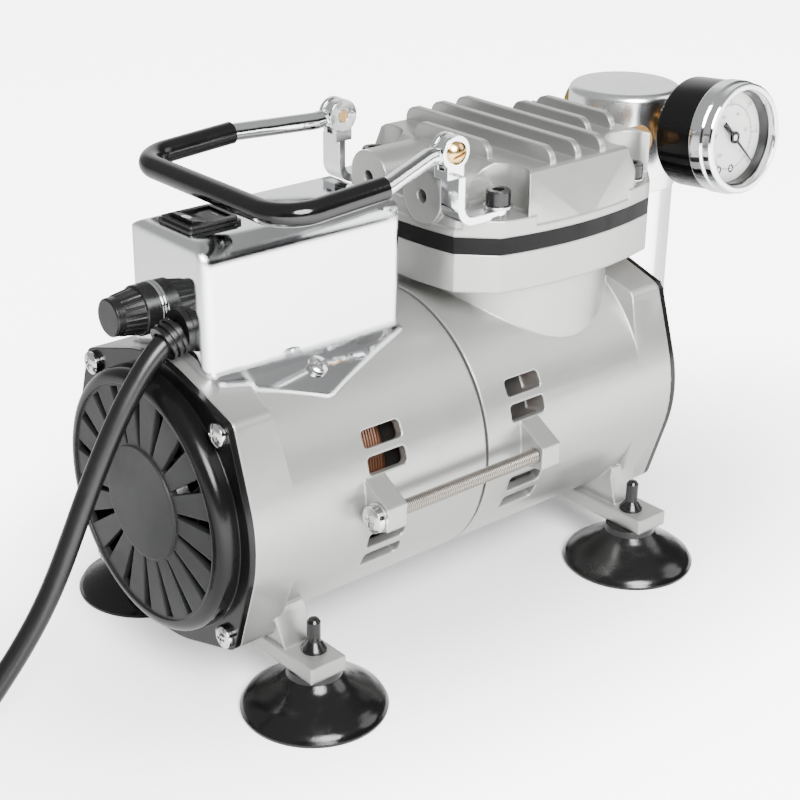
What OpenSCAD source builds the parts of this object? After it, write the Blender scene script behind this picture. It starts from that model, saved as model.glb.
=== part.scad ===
// Portable oil-free piston vacuum pump: a fan-cooled motor in two cast halves,
// one rocking-piston cylinder with a finned head, a moisture trap with a gauge,
// a folding carrying handle and four suction feet.
// Modelled from the seam between the castings (x = 0), then centred over its footprint.

/* [Castings] */
// Outer diameter of the two castings
body_d = 100; // [98:1:102]
// Height of the motor axis above the table
axis_h = 65; // [64:1:67]
// Wall of the castings
wall = 3.5; // [3:0.5:4]
// Length of the rear casting, from the seam to its end flange
rear_len = 98; // [97:0.5:99]
// Length of the front casting
front_len = 94.6; // [94:0.2:97]
// Thickness of the end flanges
flange_t = 15; // [13:0.5:16]
// Width of the groove at the seam
seam_gap = 1.4; // [0.4:0.2:1.6]
// Side of the square of cover screws at each end
cover_bolts = 71.7; // [70:0.5:73]
// Radius of the lobe round each cover screw
lobe_r = 5; // [4.8:0.1:6]
// Length of one ventilation slot
vent_len = 16.2; // [12:0.1:17]
// Height of one ventilation slot
vent_h = 6.2; // [4:0.2:6.4]

/* [Tie bolts] */
// Distance from the motor axis to each tie bolt
tie_y = 56.5; // [56:0.5:58]
// Diameter of a tie bolt
tie_d = 5; // [4:0.1:5]
// Thickness of a lug along the bolt
lug_t = 8.5; // [7:0.5:10]

/* [Feet] */
// Spacing of the feet along the motor
foot_dx = 152.6; // [148:0.5:156]
// Spacing of the feet across the motor
foot_dy = 101; // [98:0.5:104]
// Diameter of a suction cup
cup_d = 49; // [44:1:52]
// Height of the top of the leg plates
leg_top = 21.4; // [20:0.2:23]
// Thickness of the leg plates
leg_t = 5.5; // [4:0.5:6]
// Width of the leg plates
leg_w = 14.2; // [12:0.2:16]
// Diameter of the rubber stem
stem_d = 4.6; // [4:0.2:5]
// Height of the stem above the leg plate
stem_h = 12; // [9:0.5:14]

/* [Fan covers] */
// Thickness of the cover plate
cover_t = 2.2; // [2:0.1:3]
// Number of slots in a fan cover
slot_n = 18; // [16:1:20]
// Radius of the plain hub of the grille
grille_hub_r = 19.4; // [18:0.2:20]
// Outer radius of the slots
slot_r = 39.2; // [36:0.2:39.6]
// Outer radius of the drum of the cover
rim_r = 45; // [44.6:0.1:45]
// Rounding between the drum and its face
rim_round = 4; // [3.4:0.1:4.2]
// Height of the face above the end of the casting
rim_h = 9.6; // [9:0.1:11]

/* [Cylinder and head] */
// Distance from the seam to the cylinder axis
cyl_x = 50.4; // [49:0.5:52]
// Outer diameter of the cylinder barrel
barrel_d = 79; // [76:1:80]
// Bore of the cylinder sleeve
bore_d = 48; // [46:1:48]
// Stroke of the piston
stroke = 7; // [5:0.5:7]
// Height of the underside of the valve plate
deck_h = 133.4; // [132:0.5:135]
// Thickness of the barrel flange
barrel_flange_t = 13.6; // [12:0.5:15]
// Thickness of the black valve plate
plate_t = 6; // [5:0.5:7]
// Half width of the head along the motor, at its middle
head_hx = 50.6; // [50:0.5:52]
// Half width of the head across the motor, at its middle
head_hy = 43.2; // [42.5:0.5:44]
// Radius of the bulged sides of the head
head_bulge_r = 141; // [130:1:160]
// Half of the sum of the head's half widths at its cut corners
head_corner = 75.2; // [74.5:0.1:76]
// Radius of the upper edge of the head over the trap end
end_r = 8.5; // [6:0.5:10]
// Height of the screw pads above the valve plate
pad_h = 6; // [5.4:0.2:7]
// Height of the deck between the fins above the valve plate
top_h = 21; // [20:0.5:22]
// Height of the fins above the deck
fin_h = 5.6; // [4:0.2:6]
// Spacing of the fins
fin_pitch = 12.2; // [11:0.1:12.5]
// Thickness of a fin
fin_t = 2.6; // [2:0.1:3.2]
// Offset of the head screws along the motor
head_bolt_x = 33; // [32:0.5:33.5]
// Offset of the head screws across the motor
head_bolt_y = 32.4; // [32:0.2:33]
// Radius of the pocket round each head screw
pocket_r = 10.4; // [9.6:0.2:11]

/* [Carrying handle] */
// Height of the handle pivots above the screw pads of the head
pivot_rise = 24.9; // [24:0.1:26]
// Distance of the handle pivots from the seam
pivot_x = -2; // [-3:0.5:-1]
// Distance from the pivots to the crossbar
reach = 75.6; // [72:0.5:77]
// Half width of the handle at the crossbar
handle_y = 40.3; // [38:0.5:42]
// Diameter of the handle rod
rod_d = 6; // [5:0.2:6.4]
// Outer diameter of the grip sleeve
grip_d = 7.6; // [7:0.2:8.4]
// Droop of the folded handle in degrees
droop = 4; // [3:0.1:4.6]

/* [Terminal box] */
// Half width of the terminal box
box_hy = 21; // [20:0.5:22]
// Distance of the box from the rear end of the casting
box_set = 4; // [3.5:0.5:5]
// Length of the terminal box
box_l = 79.4; // [75:0.1:80]
// Height of the terminal box above the crest of the casting
box_h = 39.8; // [38.6:0.2:40.4]
// Radius of the long top edges
box_edge = 9; // [7:0.5:10]
// Radius of the edges round the end faces of the box
box_end = 4; // [3:0.5:5]
// Sheet thickness of the terminal box
sheet = 1.2; // [1:0.1:1.5]
// Distance of the rocker switch from the rear face of the box
switch_set = 13.5; // [12.5:0.5:14.5]
// Length and width of the switch bezel
switch_size = [20, 18];
// Height of the fuse holder above the crest of the casting
inlet_rise = 12.4; // [11.6:0.2:13.4]
// Offset of the fuse holder and of the cord bush from the middle
inlet_y = 8.6; // [8:0.2:9]

/* [Trap and gauge] */
// Distance from the seam to the trap axis
trap_x = 130.6; // [130:0.2:132]
// Offset of the trap axis behind the motor axis
trap_y = 14.6; // [14:0.2:15.6]
// Radius of the trap cap
cap_r = 21.8; // [21.6:0.1:22.4]
// Height of the top of the trap cap above its port
cap_rise = 11.6; // [11:0.2:12.6]
// Height of the trap cap
cap_h = 38.4; // [37:0.2:40]
// Radius of the jar
jar_r = 21.2; // [20.8:0.1:21.6]
// Length of the jar below the cap
jar_l = 63.4; // [56:0.2:68]
// Diameter of the gauge bezel
gauge_d = 42; // [41:0.5:43]
// Height of the gauge above the port of the trap
gauge_rise = 2.3; // [1.5:0.1:3.5]
// Front of the gauge bezel
gauge_y = -45.5; // [-47:0.5:-44]
// Depth of the gauge
gauge_depth = 26; // [22:0.5:27]
// Upward tilt of the gauge in degrees
gauge_tilt = 5.4; // [0:0.2:8]
// Bore of the hose inlet
inlet_d = 9; // [8:0.5:11]

/* [Hidden] */
$fn = 72;

// Clearances
fit = 0.05;          // radial, running and seated fits
skin = 0.1;          // faces laid side by side

// Castings
body_r = body_d / 2;
inner_r = body_r - wall;
bolt = cover_bolts / 2;
shaft_r = 5;
bearing_r = 13;
bearing_w = 8;
rear_wall_x = 30 - rear_len;              // rear face of the rear bearing
front_wall_x = cyl_x - 22.4;              // rear face of the front bearing
crank_wall_x = cyl_x + 14.6;              // rear face of the crank bearing
vent_rear_x = 46.4 - rear_len;
vent_front_x = 12.3;
vent_z = [10.6, 19];                      // height of the slots above and below the axis
lug_rear_x = 44 - rear_len;
lug_front_x = 16;
lug_y = tie_y + 4;
leg_x = foot_dx / 2;
leg_y = foot_dy / 2;
leg_reach = leg_y + 9.5;
silver = [0.74, 0.74, 0.73];
black = [0.07, 0.07, 0.07];
chrome = [0.86, 0.87, 0.88];
brass = [0.78, 0.58, 0.3];
steel = [0.6, 0.61, 0.62];

// Cover screws
screw_r = 1.95;
screw_head_r = 3.9;

// Motor
stator_x0 = -33;
stator_x1 = 9;
rotor_r = 25.5;
winding_r = rotor_r + 7;                  // middle of the end windings
winding_w = 9.6;
fan_r = 41;

// Cylinder
throw = stroke / 2;
sleeve_r = bore_d / 2 + 3;
sleeve_low = deck_h - 30.2;
crown_top = deck_h - 1;
crown_r = bore_d / 2 - throw - 0.5;
pin_r = 11;
rod_w = 9;
head_z = deck_h + plate_t;
pad_z = head_z + pad_h;
deck_z = head_z + top_h;
head_end = head_hx - 0.4;
bolt_r = 2.5;

// Handle
pivot_z = pad_z + pivot_rise;
eye_t = 3;
eye_r = 5.4;
cheek_t = 1.7;
pivot_y = 29;
pivot_r = 2.05;
strap_t = 2.8;
strap_w = 9;
strap_y = 31;
bend_r = 12;
grip_u = 37;                              // where the grip starts and the arms draw in
neck_u = 10;                              // where the arms run on to the eyes

// Terminal box
body_gap = 0.15;
box_x0 = box_set - rear_len;
box_x1 = box_x0 + box_l;
box_top = axis_h + body_r + box_h;
inlet_z = axis_h + body_r + inlet_rise;
switch_x = box_x0 + switch_set;
tongue_x = box_x0 + 38;
can_r = 13;
can_l = 38;
can_z = axis_h + body_r + can_r + 0.2;
tongue_y = 35.6;
box_screw_a = 32.4;
switch_h = 2.2;
switch_z = box_top + switch_h;
switch_hole = [15.6, 12.4];
rocker_a = 7;
rocker_pin_r = 1.3;
fuse_out = 16.4;
panel_t = sheet;

// Trap and gauge
port_z = head_z + 11.6;
port_y = 14;
nipple_z = head_z + 13.2;
cap_top = nipple_z + cap_rise;
cap_low = cap_top - cap_h;
jar_low = cap_low - jar_l;
gauge_z = nipple_z + gauge_rise;
filter_r = 8;
filter_l = 40;
silencer_y = -17;
silencer_z = nipple_z + 0.5;
ledge_z = cap_low + 15.6;
neck_r = 19;
jar_wall = 2.2;
head_front_x = cyl_x + head_hx;
gauge_front = (trap_y - gauge_y) / cos(gauge_tilt);
gauge_root_z = gauge_z - (trap_y - gauge_y) * tan(gauge_tilt);
bezel_t = 9.3;
gauge_r = gauge_d / 2;
needle_v = gauge_front - 5.6;
needle_a = -46;
spindle_r = 1.1;

// Mains lead: out of the bush, down to the table and into the coil
cord_d = 7;
cord_z = cord_d * 0.4;
bush_out = 7;
bush_a = 22;
bush_z = inlet_z - 2.4;
cord_points = [
    [-92.4, 125.4], [-96, 124.4], [-99.4, 122.9], [-102.6, 121], [-105.6, 118.6], [-108.6, 115.6], [-112.4, 111],
    [-117, 104.8], [-121.4, 98], [-125.6, 90.8], [-129.8, 83.2], [-134.2, 74.6], [-139, 65], [-144.4, 54.8],
    [-150.2, 45.4], [-157, 36.4], [-164.6, 27.8], [-172.6, 19.6], [-181, 12], [-190, 6], [-200, 3.2], [-209.9, 2.8]];
coil_r = 52;
coil_pitch = 8.05;
coil_c = [-210, coil_r - inlet_y];
coil_in = 2.66;                           // turns laid inwards on the table
coil_up = 3;                              // where the second layer starts
coil_end = 6.25;
coil_lift = 7.9;

// Middle of the footprint, without the lead
centre_x = (trap_x + cap_r + box_x0 - fuse_out) / 2;

// Extrudes a profile drawn in Y and Z along X, from x over the length l
module yz(x, l) translate([x, 0, 0]) rotate([90, 0, 90]) linear_extrude(l) children();

// Extrudes a profile drawn in X and Z along Y, from y over the length l
module xz(y, l) translate([0, y + l, 0]) rotate([90, 0, 0]) linear_extrude(l) children();

// A round bar along X about the motor axis
module bar(x, l, r) yz(x, l) translate([0, axis_h]) circle(r);

// A round bar along Y from y over the length l
module ybar(x, y, z, l, r) translate([x, y, z]) rotate([-90, 0, 0]) cylinder(r = r, h = l);

// Four corners of a rectangle of half sizes a and b
module corners(a, b) for (i = [-1, 1], j = [-1, 1]) translate([i * a, j * b]) children();

// Both sides of the motor
module both_sides() for (s = [0, 1]) mirror([0, s, 0]) children();

// Rectangle with round corners, made of plain rectangles and circles
module round_rect(w, h, r) {
    square([w - 2 * r, h], center = true);
    square([w, h - 2 * r], center = true);
    corners(w / 2 - r, h / 2 - r) circle(r);
}

// Outline of the end flanges and covers: a circle drawn out to a lobe at each screw
module lobed(r, lr) {
    d = bolt * sqrt(2);
    a = acos((r - lr) / d);
    circle(r);
    for (k = [45:90:315]) rotate(k) {
        translate([d, 0]) circle(lr);
        polygon([[0, 0], [r * cos(a), -r * sin(a)], [d + lr * cos(a), -lr * sin(a)],
            [d + lr * cos(a), lr * sin(a)], [r * cos(a), r * sin(a)]]);
    }
}

// End flange, its end face at z = 0: the lobes run back into the round body along a cone
module flange(grow = 0) intersection() {
    linear_extrude(flange_t + 4) lobed(body_r + grow, lobe_r + grow);
    rotate_extrude() polygon([[0, -1], [body_r + 12, -1], [body_r + 12, flange_t - 2.9 + grow],
        [body_r - 2, flange_t + 2 + grow], [0, flange_t + 2 + grow]]);
}

// Pan head with a cross recess, its flat side at z = 0
module pan_head(r, h) difference() {
    intersection() {
        cylinder(r = r, h = h);
        translate([0, 0, h - 1.9 * r]) sphere(r = 1.9 * r);
    }
    for (k = [0, 90]) rotate(k) translate([-r * 0.55, -r * 0.12, h - 1.5]) cube([r * 1.1, r * 0.24, 2]);
}

module dir_x(s) rotate([0, s * 90, 0]) children();

// Castings

// Outside of the rear casting, without its legs and lugs
module rear_body(grow = 0) {
    bar(-rear_len, rear_len - seam_gap / 2, body_r + grow);
    translate([-rear_len, 0, axis_h]) dir_x(1) flange(grow);
}

// One leg beam across the body with its two webs, which widen towards the flange
module legs(s) mirror([s > 0 ? 1 : 0, 0, 0]) {
    translate([-leg_x - leg_w / 2 - 1.5, -leg_reach, leg_top - leg_t]) cube([leg_w, 2 * leg_reach, leg_t]);
    both_sides() intersection() {
        yz(-leg_x - 20, 40) polygon([[-leg_reach + 15.2, leg_top - 0.5], [-leg_reach + 18.3, leg_top + 15],
            [-8, leg_top + 17], [-8, leg_top - 0.5]]);
        xz(-60, 60) translate([-leg_x, leg_top]) polygon([[-7.3, -1], [-9.5, 10.4], [-7.2, 14], [2.3, 14.4], [3.4, 10.8], [2.5, -1]]);
    }
}

module leg_holes(x) for (s = [-1, 1]) translate([x, s * leg_y, 0]) cylinder(r = 3.3, h = leg_top + 1);

// Lug that carries one end of a tie bolt
module lug(x) both_sides() yz(x, lug_t)
    polygon([[-lug_y, axis_h - 4.2], [-lug_y, axis_h + 3.8], [-lug_y + 12, axis_h + 10.6],
        [-lug_y + 24, axis_h + 10.6], [-lug_y + 24, axis_h - 6], [-lug_y + 12, axis_h - 6]]);

module tie_holes(x) for (s = [-1, 1]) yz(x - 1, lug_t + 2) translate([s * tie_y, axis_h]) circle(tie_d / 2 + fit);

// Two slots above and two below the lug, on both sides
module vents(x) both_sides() for (i = [-1, 1], z = vent_z)
    translate([x + vent_len / 2, 0, axis_h]) rotate([-i * asin((z + vent_h / 2) / body_r), 0, 0])
        translate([0, -body_r - 2, 0]) rotate([-90, 0, 0]) linear_extrude(wall + 8)
            round_rect(vent_len, vent_h, 1.6);

module cover_screw_holes(x, l) yz(x, l) translate([0, axis_h]) corners(bolt, bolt) circle(screw_r + fit);

module box_screw_holes() for (s = [-1, 1])
    translate([tongue_x, 0, axis_h]) rotate([s * box_screw_a, 0, 0]) cylinder(r = 1.5 + fit, h = body_r + 3);

module rear_motor_housing() color(silver) difference() {
    union() {
        rear_body();
        legs(-1);
        lug(lug_rear_x);
    }
    bar(rear_wall_x + bearing_w, -rear_wall_x, inner_r);
    bar(-rear_len - 1, rear_len + rear_wall_x + 1, inner_r);
    bar(rear_wall_x - 1, bearing_w + 2, bearing_r + fit);
    leg_holes(-leg_x);
    tie_holes(lug_rear_x);
    vents(vent_rear_x);
    cover_screw_holes(-rear_len - 1, 13);
    box_screw_holes();
    translate([-40, 0, axis_h]) cylinder(r = 5, h = body_r + 5);
}

// Plan of the head, valve plate and barrel flange: bulged sides with cut corners
module outline(inset = 0) translate([cyl_x, 0]) intersection() {
    translate([head_bulge_r - head_hx + inset, 0]) circle(head_bulge_r);
    translate([head_hx - head_bulge_r - inset, 0]) circle(head_bulge_r);
    translate([0, head_bulge_r - head_hy + inset]) circle(head_bulge_r);
    translate([0, head_hy - head_bulge_r - inset]) circle(head_bulge_r);
    rotate(45) square((head_corner - inset) * sqrt(2), center = true);
}

module head_bolts() translate([cyl_x, 0]) corners(head_bolt_x, head_bolt_y) children();

module crankcase_housing() color(silver) difference() {
    union() {
        bar(seam_gap / 2, front_len - seam_gap / 2, body_r);
        translate([front_len, 0, axis_h]) dir_x(-1) flange();
        translate([cyl_x, 0, axis_h]) cylinder(d = barrel_d, h = deck_h - axis_h - 1, $fn = 96);
        translate([0, 0, deck_h - barrel_flange_t]) linear_extrude(barrel_flange_t) outline();
        legs(1);
        lug(lug_front_x);
    }
    bar(-1, front_wall_x + 1, inner_r);
    bar(front_wall_x + bearing_w, crank_wall_x - front_wall_x - bearing_w, inner_r);
    bar(crank_wall_x + bearing_w, front_len, inner_r);
    bar(front_wall_x - 1, crank_wall_x - front_wall_x + bearing_w + 2, bearing_r + fit);
    translate([cyl_x, 0, sleeve_low - 1]) cylinder(r = sleeve_r + fit, h = deck_h);
    leg_holes(leg_x);
    tie_holes(lug_front_x);
    vents(vent_front_x);
    cover_screw_holes(front_len - 12, 13);
    translate([0, 0, deck_h - 12]) linear_extrude(13) head_bolts() circle(bolt_r + fit);
}

// Half section of the drum: a rounded wall and a face with a shallow recess
module rim_profile() difference() {
    intersection() {
        union() {
            square([rim_r - rim_round, rim_h]);
            square([rim_r, rim_h - rim_round]);
            translate([rim_r - rim_round, rim_h - rim_round]) circle(rim_round);
        }
        square([rim_r + 1, rim_h + 1]);
    }
    translate([0, -1]) square([rim_r - 3, rim_h - rim_round + 1]);
    translate([0, -1]) square([rim_r - rim_round, rim_h - 2]);
    translate([0, rim_h - 0.6]) square([slot_r + 1, 1]);
}

// Fan cover as it stands on the end of a casting, pointing up
module fan_cover() difference() {
    union() {
        linear_extrude(cover_t) difference() {
            lobed(body_r, lobe_r);
            circle(rim_r - 1.5);
            corners(bolt, bolt) circle(screw_r + fit);
        }
        rotate_extrude() rim_profile();
        translate([0, 0, rim_h - 2.8]) cylinder(r = grille_hub_r, h = 2.9);
    }
    translate([0, 0, rim_h - 5]) linear_extrude(8) for (k = [0:360 / slot_n:359]) rotate(k)
        polygon([[grille_hub_r + 0.8, -0.7], [slot_r, -2.2], [slot_r, 2.2], [grille_hub_r + 0.8, 0.7]]);
}

module rear_fan_cover() color(black) translate([-rear_len - skin, 0, axis_h]) dir_x(-1) fan_cover();

module front_fan_cover() color(black) translate([front_len + skin, 0, axis_h]) dir_x(1) fan_cover();

module cover_screws(x, s) color(chrome) translate([x + s * (cover_t + 2 * skin), 0, axis_h]) dir_x(s) corners(bolt, bolt) {
    pan_head(screw_head_r, 2.7);
    translate([0, 0, -cover_t - 8]) cylinder(r = screw_r, h = cover_t + 9);
}

module rear_cover_screws() cover_screws(-rear_len, -1);

module front_cover_screws() cover_screws(front_len, 1);

module tie_bolts() color(chrome) for (s = [-1, 1]) translate([0, s * tie_y, axis_h]) {
    yz(lug_rear_x - 1.2, lug_front_x + lug_t - lug_rear_x + 0.2) circle(tie_d / 2);
    translate([lug_rear_x - 1.2, 0, 0]) dir_x(-1) pan_head(4.6, 3.4);
}

module tie_washers() color(steel) for (s = [-1, 1])
    translate([0, s * tie_y, axis_h]) yz(lug_rear_x - 1.1, 1) difference() {
        circle(5);
        circle(tie_d / 2 + fit);
    }

// Motor

module stator_core() color(steel) yz(stator_x0, stator_x1 - stator_x0) translate([0, axis_h]) difference() {
    circle(inner_r - fit);
    circle(rotor_r + 0.5);
}

// End winding: a thick rounded ring
module winding(x, l) translate([x, 0, axis_h]) dir_x(1) rotate_extrude() translate([winding_r, l / 2]) round_rect(winding_w, l, 3.6);

module stator_windings() color([0.72, 0.4, 0.22]) {
    winding(stator_x0 - 17, 16.9);
    winding(stator_x1 + skin, 15);
}

module shaft_bearings() color(steel) for (x = [rear_wall_x, front_wall_x, crank_wall_x])
    yz(x, bearing_w) translate([0, axis_h]) difference() {
        circle(bearing_r);
        circle(shaft_r + fit);
    }

module motor_shaft() color(steel) bar(6 - rear_len, rear_len + front_len - 11, shaft_r);

module rotor_core() color(steel) yz(stator_x0 + 1, stator_x1 - stator_x0 - 2) translate([0, axis_h]) difference() {
    circle(rotor_r);
    circle(shaft_r + fit);
}

// Cooling fan with its blades towards the grille
module fan() color([0.2, 0.2, 0.21]) difference() {
    union() {
        cylinder(r = 11, h = 13);
        cylinder(r = fan_r, h = 2);
        for (k = [0:36:324]) rotate(k) translate([9, -1, 0]) cube([fan_r - 10, 2, 12]);
    }
    translate([0, 0, -1]) cylinder(r = shaft_r + fit, h = 16);
}

module rear_fan() translate([rear_wall_x - 6, 0, axis_h]) dir_x(-1) fan();

module front_fan() translate([crank_wall_x + bearing_w + 5, 0, axis_h]) dir_x(1) fan();

// Eccentric with its counterweight, at top dead centre
module eccentric() color(steel) difference() {
    union() {
        yz(front_wall_x + bearing_w + 1, rod_w + 10) translate([0, axis_h]) circle(pin_r - throw - 0.3);
        yz(cyl_x - rod_w / 2 - 0.6, rod_w + 1.2) translate([0, axis_h + throw]) circle(pin_r - fit);
        yz(cyl_x + rod_w / 2 + 0.6, 6) translate([0, axis_h]) intersection() {
            circle(24);
            translate([-24, -24]) square([48, 30]);
        }
    }
    bar(0, 90, shaft_r + fit);
}

// Rod and rocking piston in one piece, at top dead centre
module connecting_rod() color([0.7, 0.71, 0.72]) {
    difference() {
        union() {
            yz(cyl_x - rod_w / 2, rod_w) translate([0, axis_h + throw]) {
                circle(pin_r + 4.5);
                polygon([[-8, 8], [-6, crown_top - axis_h - throw - 6], [6, crown_top - axis_h - throw - 6], [8, 8]]);
            }
            translate([cyl_x, 0, crown_top - 8.4]) cylinder(r = crown_r, h = 4);
            translate([cyl_x, 0, crown_top - 5]) cylinder(r = crown_r - 4, h = 4);
            translate([cyl_x, 0, crown_top - 2.6]) cylinder(r = crown_r, h = 2.6);
        }
        yz(cyl_x - rod_w, 2 * rod_w) translate([0, axis_h + throw]) circle(pin_r);
    }
}

module piston_seal() color([0.25, 0.23, 0.2]) translate([cyl_x, 0, crown_top - 4.3]) difference() {
    cylinder(r = crown_r + 0.3, h = 1.6);
    translate([0, 0, -1]) cylinder(r = crown_r - 4 + fit, h = 4);
}

module cylinder_sleeve() color(steel) translate([cyl_x, 0, sleeve_low]) difference() {
    cylinder(r = sleeve_r, h = deck_h - sleeve_low - skin);
    translate([0, 0, -1]) cylinder(d = bore_d, h = deck_h);
}

module valve_plate() color(black) difference() {
    translate([0, 0, deck_h + skin / 2]) linear_extrude(plate_t - skin) difference() {
        outline();
        head_bolts() circle(bolt_r + 0.2);
        for (s = [-1, 1]) translate([cyl_x + 4, s * 10]) circle(3, $fn = 24);
    }
    translate([cyl_x - 12, -14, deck_h - 1]) cube([24, 8, 1.8]);
    translate([cyl_x - 12, 6, head_z - 0.8]) cube([24, 8, 2]);
}

// One flap under the suction port and one over the delivery port
module reed_valves() color(steel) {
    translate([cyl_x - 11.5, -13.5, deck_h + 0.45]) cube([23, 7, 0.3]);
    translate([cyl_x - 11.5, 6.5, head_z - 0.8 + fit]) cube([23, 7, 0.3]);
}

// Head

module head_body() intersection() {
    translate([0, 0, head_z]) linear_extrude(top_h + 1) outline(0.4);
    xz(-60, 120) translate([cyl_x, 0]) {
        polygon([[-head_hx, head_z], [-head_hx, pad_z + 2.4], [-28.5, deck_z - 0.8], [-27, deck_z],
            [head_end - end_r, deck_z], [head_end, deck_z - end_r], [head_end, head_z]]);
        translate([head_end - end_r, deck_z - end_r]) circle(end_r);
    }
    yz(-10, 130) polygon([[-head_hy, head_z], [-head_hy, head_z + 1], [-38.4, deck_z - 1], [-37, deck_z], [37, deck_z],
        [38.4, deck_z - 1], [head_hy, head_z + 1], [head_hy, head_z]]);
}

// One fin along Y with rounded upper ends
module cooling_fin(x, l) yz(cyl_x + x - fin_t / 2, fin_t) {
    r = fin_h * 0.9;
    translate([-l + r, deck_z - 3]) square([2 * l - 2 * r, fin_h + 3]);
    translate([-l, deck_z - 3]) square([2 * l, fin_h + 3 - r]);
    for (s = [-1, 1]) translate([s * (l - r), deck_z + fin_h - r]) circle(r);
}

module cylinder_head() color(silver) difference() {
    union() {
        translate([0, 0, head_z]) linear_extrude(2.7) outline();
        translate([0, 0, head_z]) linear_extrude(pad_h) intersection() {
            outline();
            head_bolts() circle(pocket_r + 3);
        }
        difference() {
            head_body();
            translate([cyl_x, 0, pad_z]) for (i = [-1, 1], j = [-1, 1])
                translate([i * head_bolt_x, j * head_bolt_y, 0]) {
                    cylinder(r = pocket_r, h = top_h);
                    rotate(atan2(j, i)) translate([0, 0.6 - pocket_r, 0]) cube([30, 2 * pocket_r - 1.2, top_h]);
                    if (i < 0) translate([-40, j > 0 ? strap_y - strap_w / 2 - head_bolt_y - 0.6 : -20, 0])
                        cube([40, 20 + head_bolt_y - strap_y + strap_w / 2 + 0.6, top_h]);
                }
        }
        for (i = [-1, 0, 1]) cooling_fin(i * fin_pitch, head_hy - 6);
        for (i = [-2, 2, 3]) cooling_fin(i * fin_pitch, head_hy - 24);
        for (s = [-1, 1]) yz(cyl_x - head_hx - 0.2, 26) translate([s * port_y, port_z]) circle(9.6);
        yz(cyl_x + 38, head_hx - 38.4) translate([trap_y, nipple_z]) circle(6.4);
    }
    translate([0, 0, head_z - 1]) linear_extrude(20) head_bolts() circle(bolt_r + 0.2);
    for (s = [-1, 1]) yz(cyl_x - head_hx - 1, 7) translate([s * port_y, port_z]) circle(2.4);
    yz(cyl_x + 20, 40) translate([trap_y, nipple_z]) circle(4 + fit);
    yz(cyl_x + 20, 40) translate([silencer_y, silencer_z]) circle(4 + fit);
    yz(head_front_x - 3.1, 9) translate([silencer_y, silencer_z]) circle(5 + fit);
    translate([cyl_x, 0, head_z - 1]) intersection() {
        cylinder(r = 22, h = 14);
        union() {
            translate([-30, 2, 0]) cube([60, 30, 20]);
            translate([-30, -32, 0]) cube([60, 30, 20]);
        }
    }
}

// Seats of the head screws: the two at the rear sit on the bracket straps
function head_seat(i) = pad_z + skin + (i < 0 ? strap_t + skin : 0);

module head_screws() color([0.12, 0.12, 0.13]) for (i = [-1, 1], j = [-1, 1])
    translate([cyl_x + i * head_bolt_x, j * head_bolt_y, head_seat(i) + 1.1]) difference() {
        union() {
            cylinder(r = 4.25, h = 4.6);
            translate([0, 0, 4.4]) cylinder(r = 3.9, h = 0.6);
            translate([0, 0, -1.1 - pad_h - plate_t - 10 - (i < 0 ? strap_t : 0)])
                cylinder(r = bolt_r, h = 12 + pad_h + plate_t + (i < 0 ? strap_t : 0));
        }
        translate([0, 0, 2.4]) cylinder(r = 2.3, h = 4, $fn = 6);
    }

module head_washers() color(steel) for (i = [-1, 1], j = [-1, 1])
    translate([cyl_x + i * head_bolt_x, j * head_bolt_y, head_seat(i)]) difference() {
        cylinder(r = 5, h = 1);
        translate([0, 0, -1]) cylinder(r = bolt_r + fit, h = 3);
    }

// Handle

// Strap bracket under a rear head screw, bent up to a fork that takes the eye of the handle
module bracket() {
    z0 = pad_z + skin;
    x0 = pivot_x - strap_t / 2;
    xe = cyl_x - head_bolt_x;
    bend = 7;
    fork = eye_t / 2 + skin;
    difference() {
        union() {
            xz(-strap_y - strap_w / 2, strap_w) {
                translate([x0 + bend, z0]) square([xe - x0 - bend, strap_t]);
                translate([x0, z0 + bend]) square([strap_t, pivot_z - eye_r - 2 - z0 - bend]);
                translate([x0 + bend, z0 + bend]) intersection() {
                    difference() {
                        circle(bend);
                        circle(bend - strap_t);
                    }
                    translate([-bend, -bend]) square(bend);
                }
            }
            translate([xe, -strap_y, z0]) cylinder(r = strap_w / 2 + 0.6, h = strap_t);
            for (y = [-pivot_y - fork - cheek_t, -pivot_y + fork]) {
                ybar(pivot_x, y, pivot_z, cheek_t, eye_r + 0.4);
                translate([pivot_x - 3.6, y, pivot_z - eye_r - 3]) cube([7.2, cheek_t, eye_r + 1]);
            }
            translate([pivot_x - 3.6, -pivot_y - fork - cheek_t, pivot_z - eye_r - 3.4])
                cube([7.2, 2 * fork + 2 * cheek_t, 2.8]);
        }
        ybar(pivot_x, -pivot_y - 8, pivot_z, 16, pivot_r + fit);
        translate([xe, -head_bolt_y, z0 - 1]) cylinder(r = bolt_r + 0.2, h = strap_t + 2);
    }
}

module handle_brackets() color(chrome) both_sides() bracket();

module handle_pivots() color(brass) both_sides() {
    y = -pivot_y - eye_t / 2 - cheek_t - 2 * skin;
    ybar(pivot_x, y, pivot_z, eye_t + 2 * cheek_t + 3 * skin, pivot_r);
    translate([pivot_x, y, pivot_z]) rotate([90, 0, 0]) difference() {
        intersection() {
            cylinder(r = 3.8, h = 2.4);
            translate([0, 0, -2.6]) sphere(r = 5);
        }
        rotate(20) translate([-5, -0.5, 1.3]) cube([10, 1, 2]);
    }
}

// Distance drawn in by the arms from the grip to the eyes
function arm_angle() = atan((handle_y - pivot_y) / (grip_u - neck_u));

// Half of the round bar of the handle from u along the straight arm, round the bend to the middle
module handle_half(u, r) {
    translate([-reach + bend_r, -handle_y, 0]) rotate([0, 90, 0]) cylinder(r = r, h = reach - bend_r - u);
    translate([-reach + bend_r, -handle_y + bend_r, 0]) rotate(180) rotate_extrude(angle = 90) translate([bend_r, 0]) circle(r);
    ybar(-reach, -handle_y + bend_r, 0, handle_y - bend_r, r);
}

module folded() translate([pivot_x, 0, pivot_z]) rotate([0, -droop, 0]) children();

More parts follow.
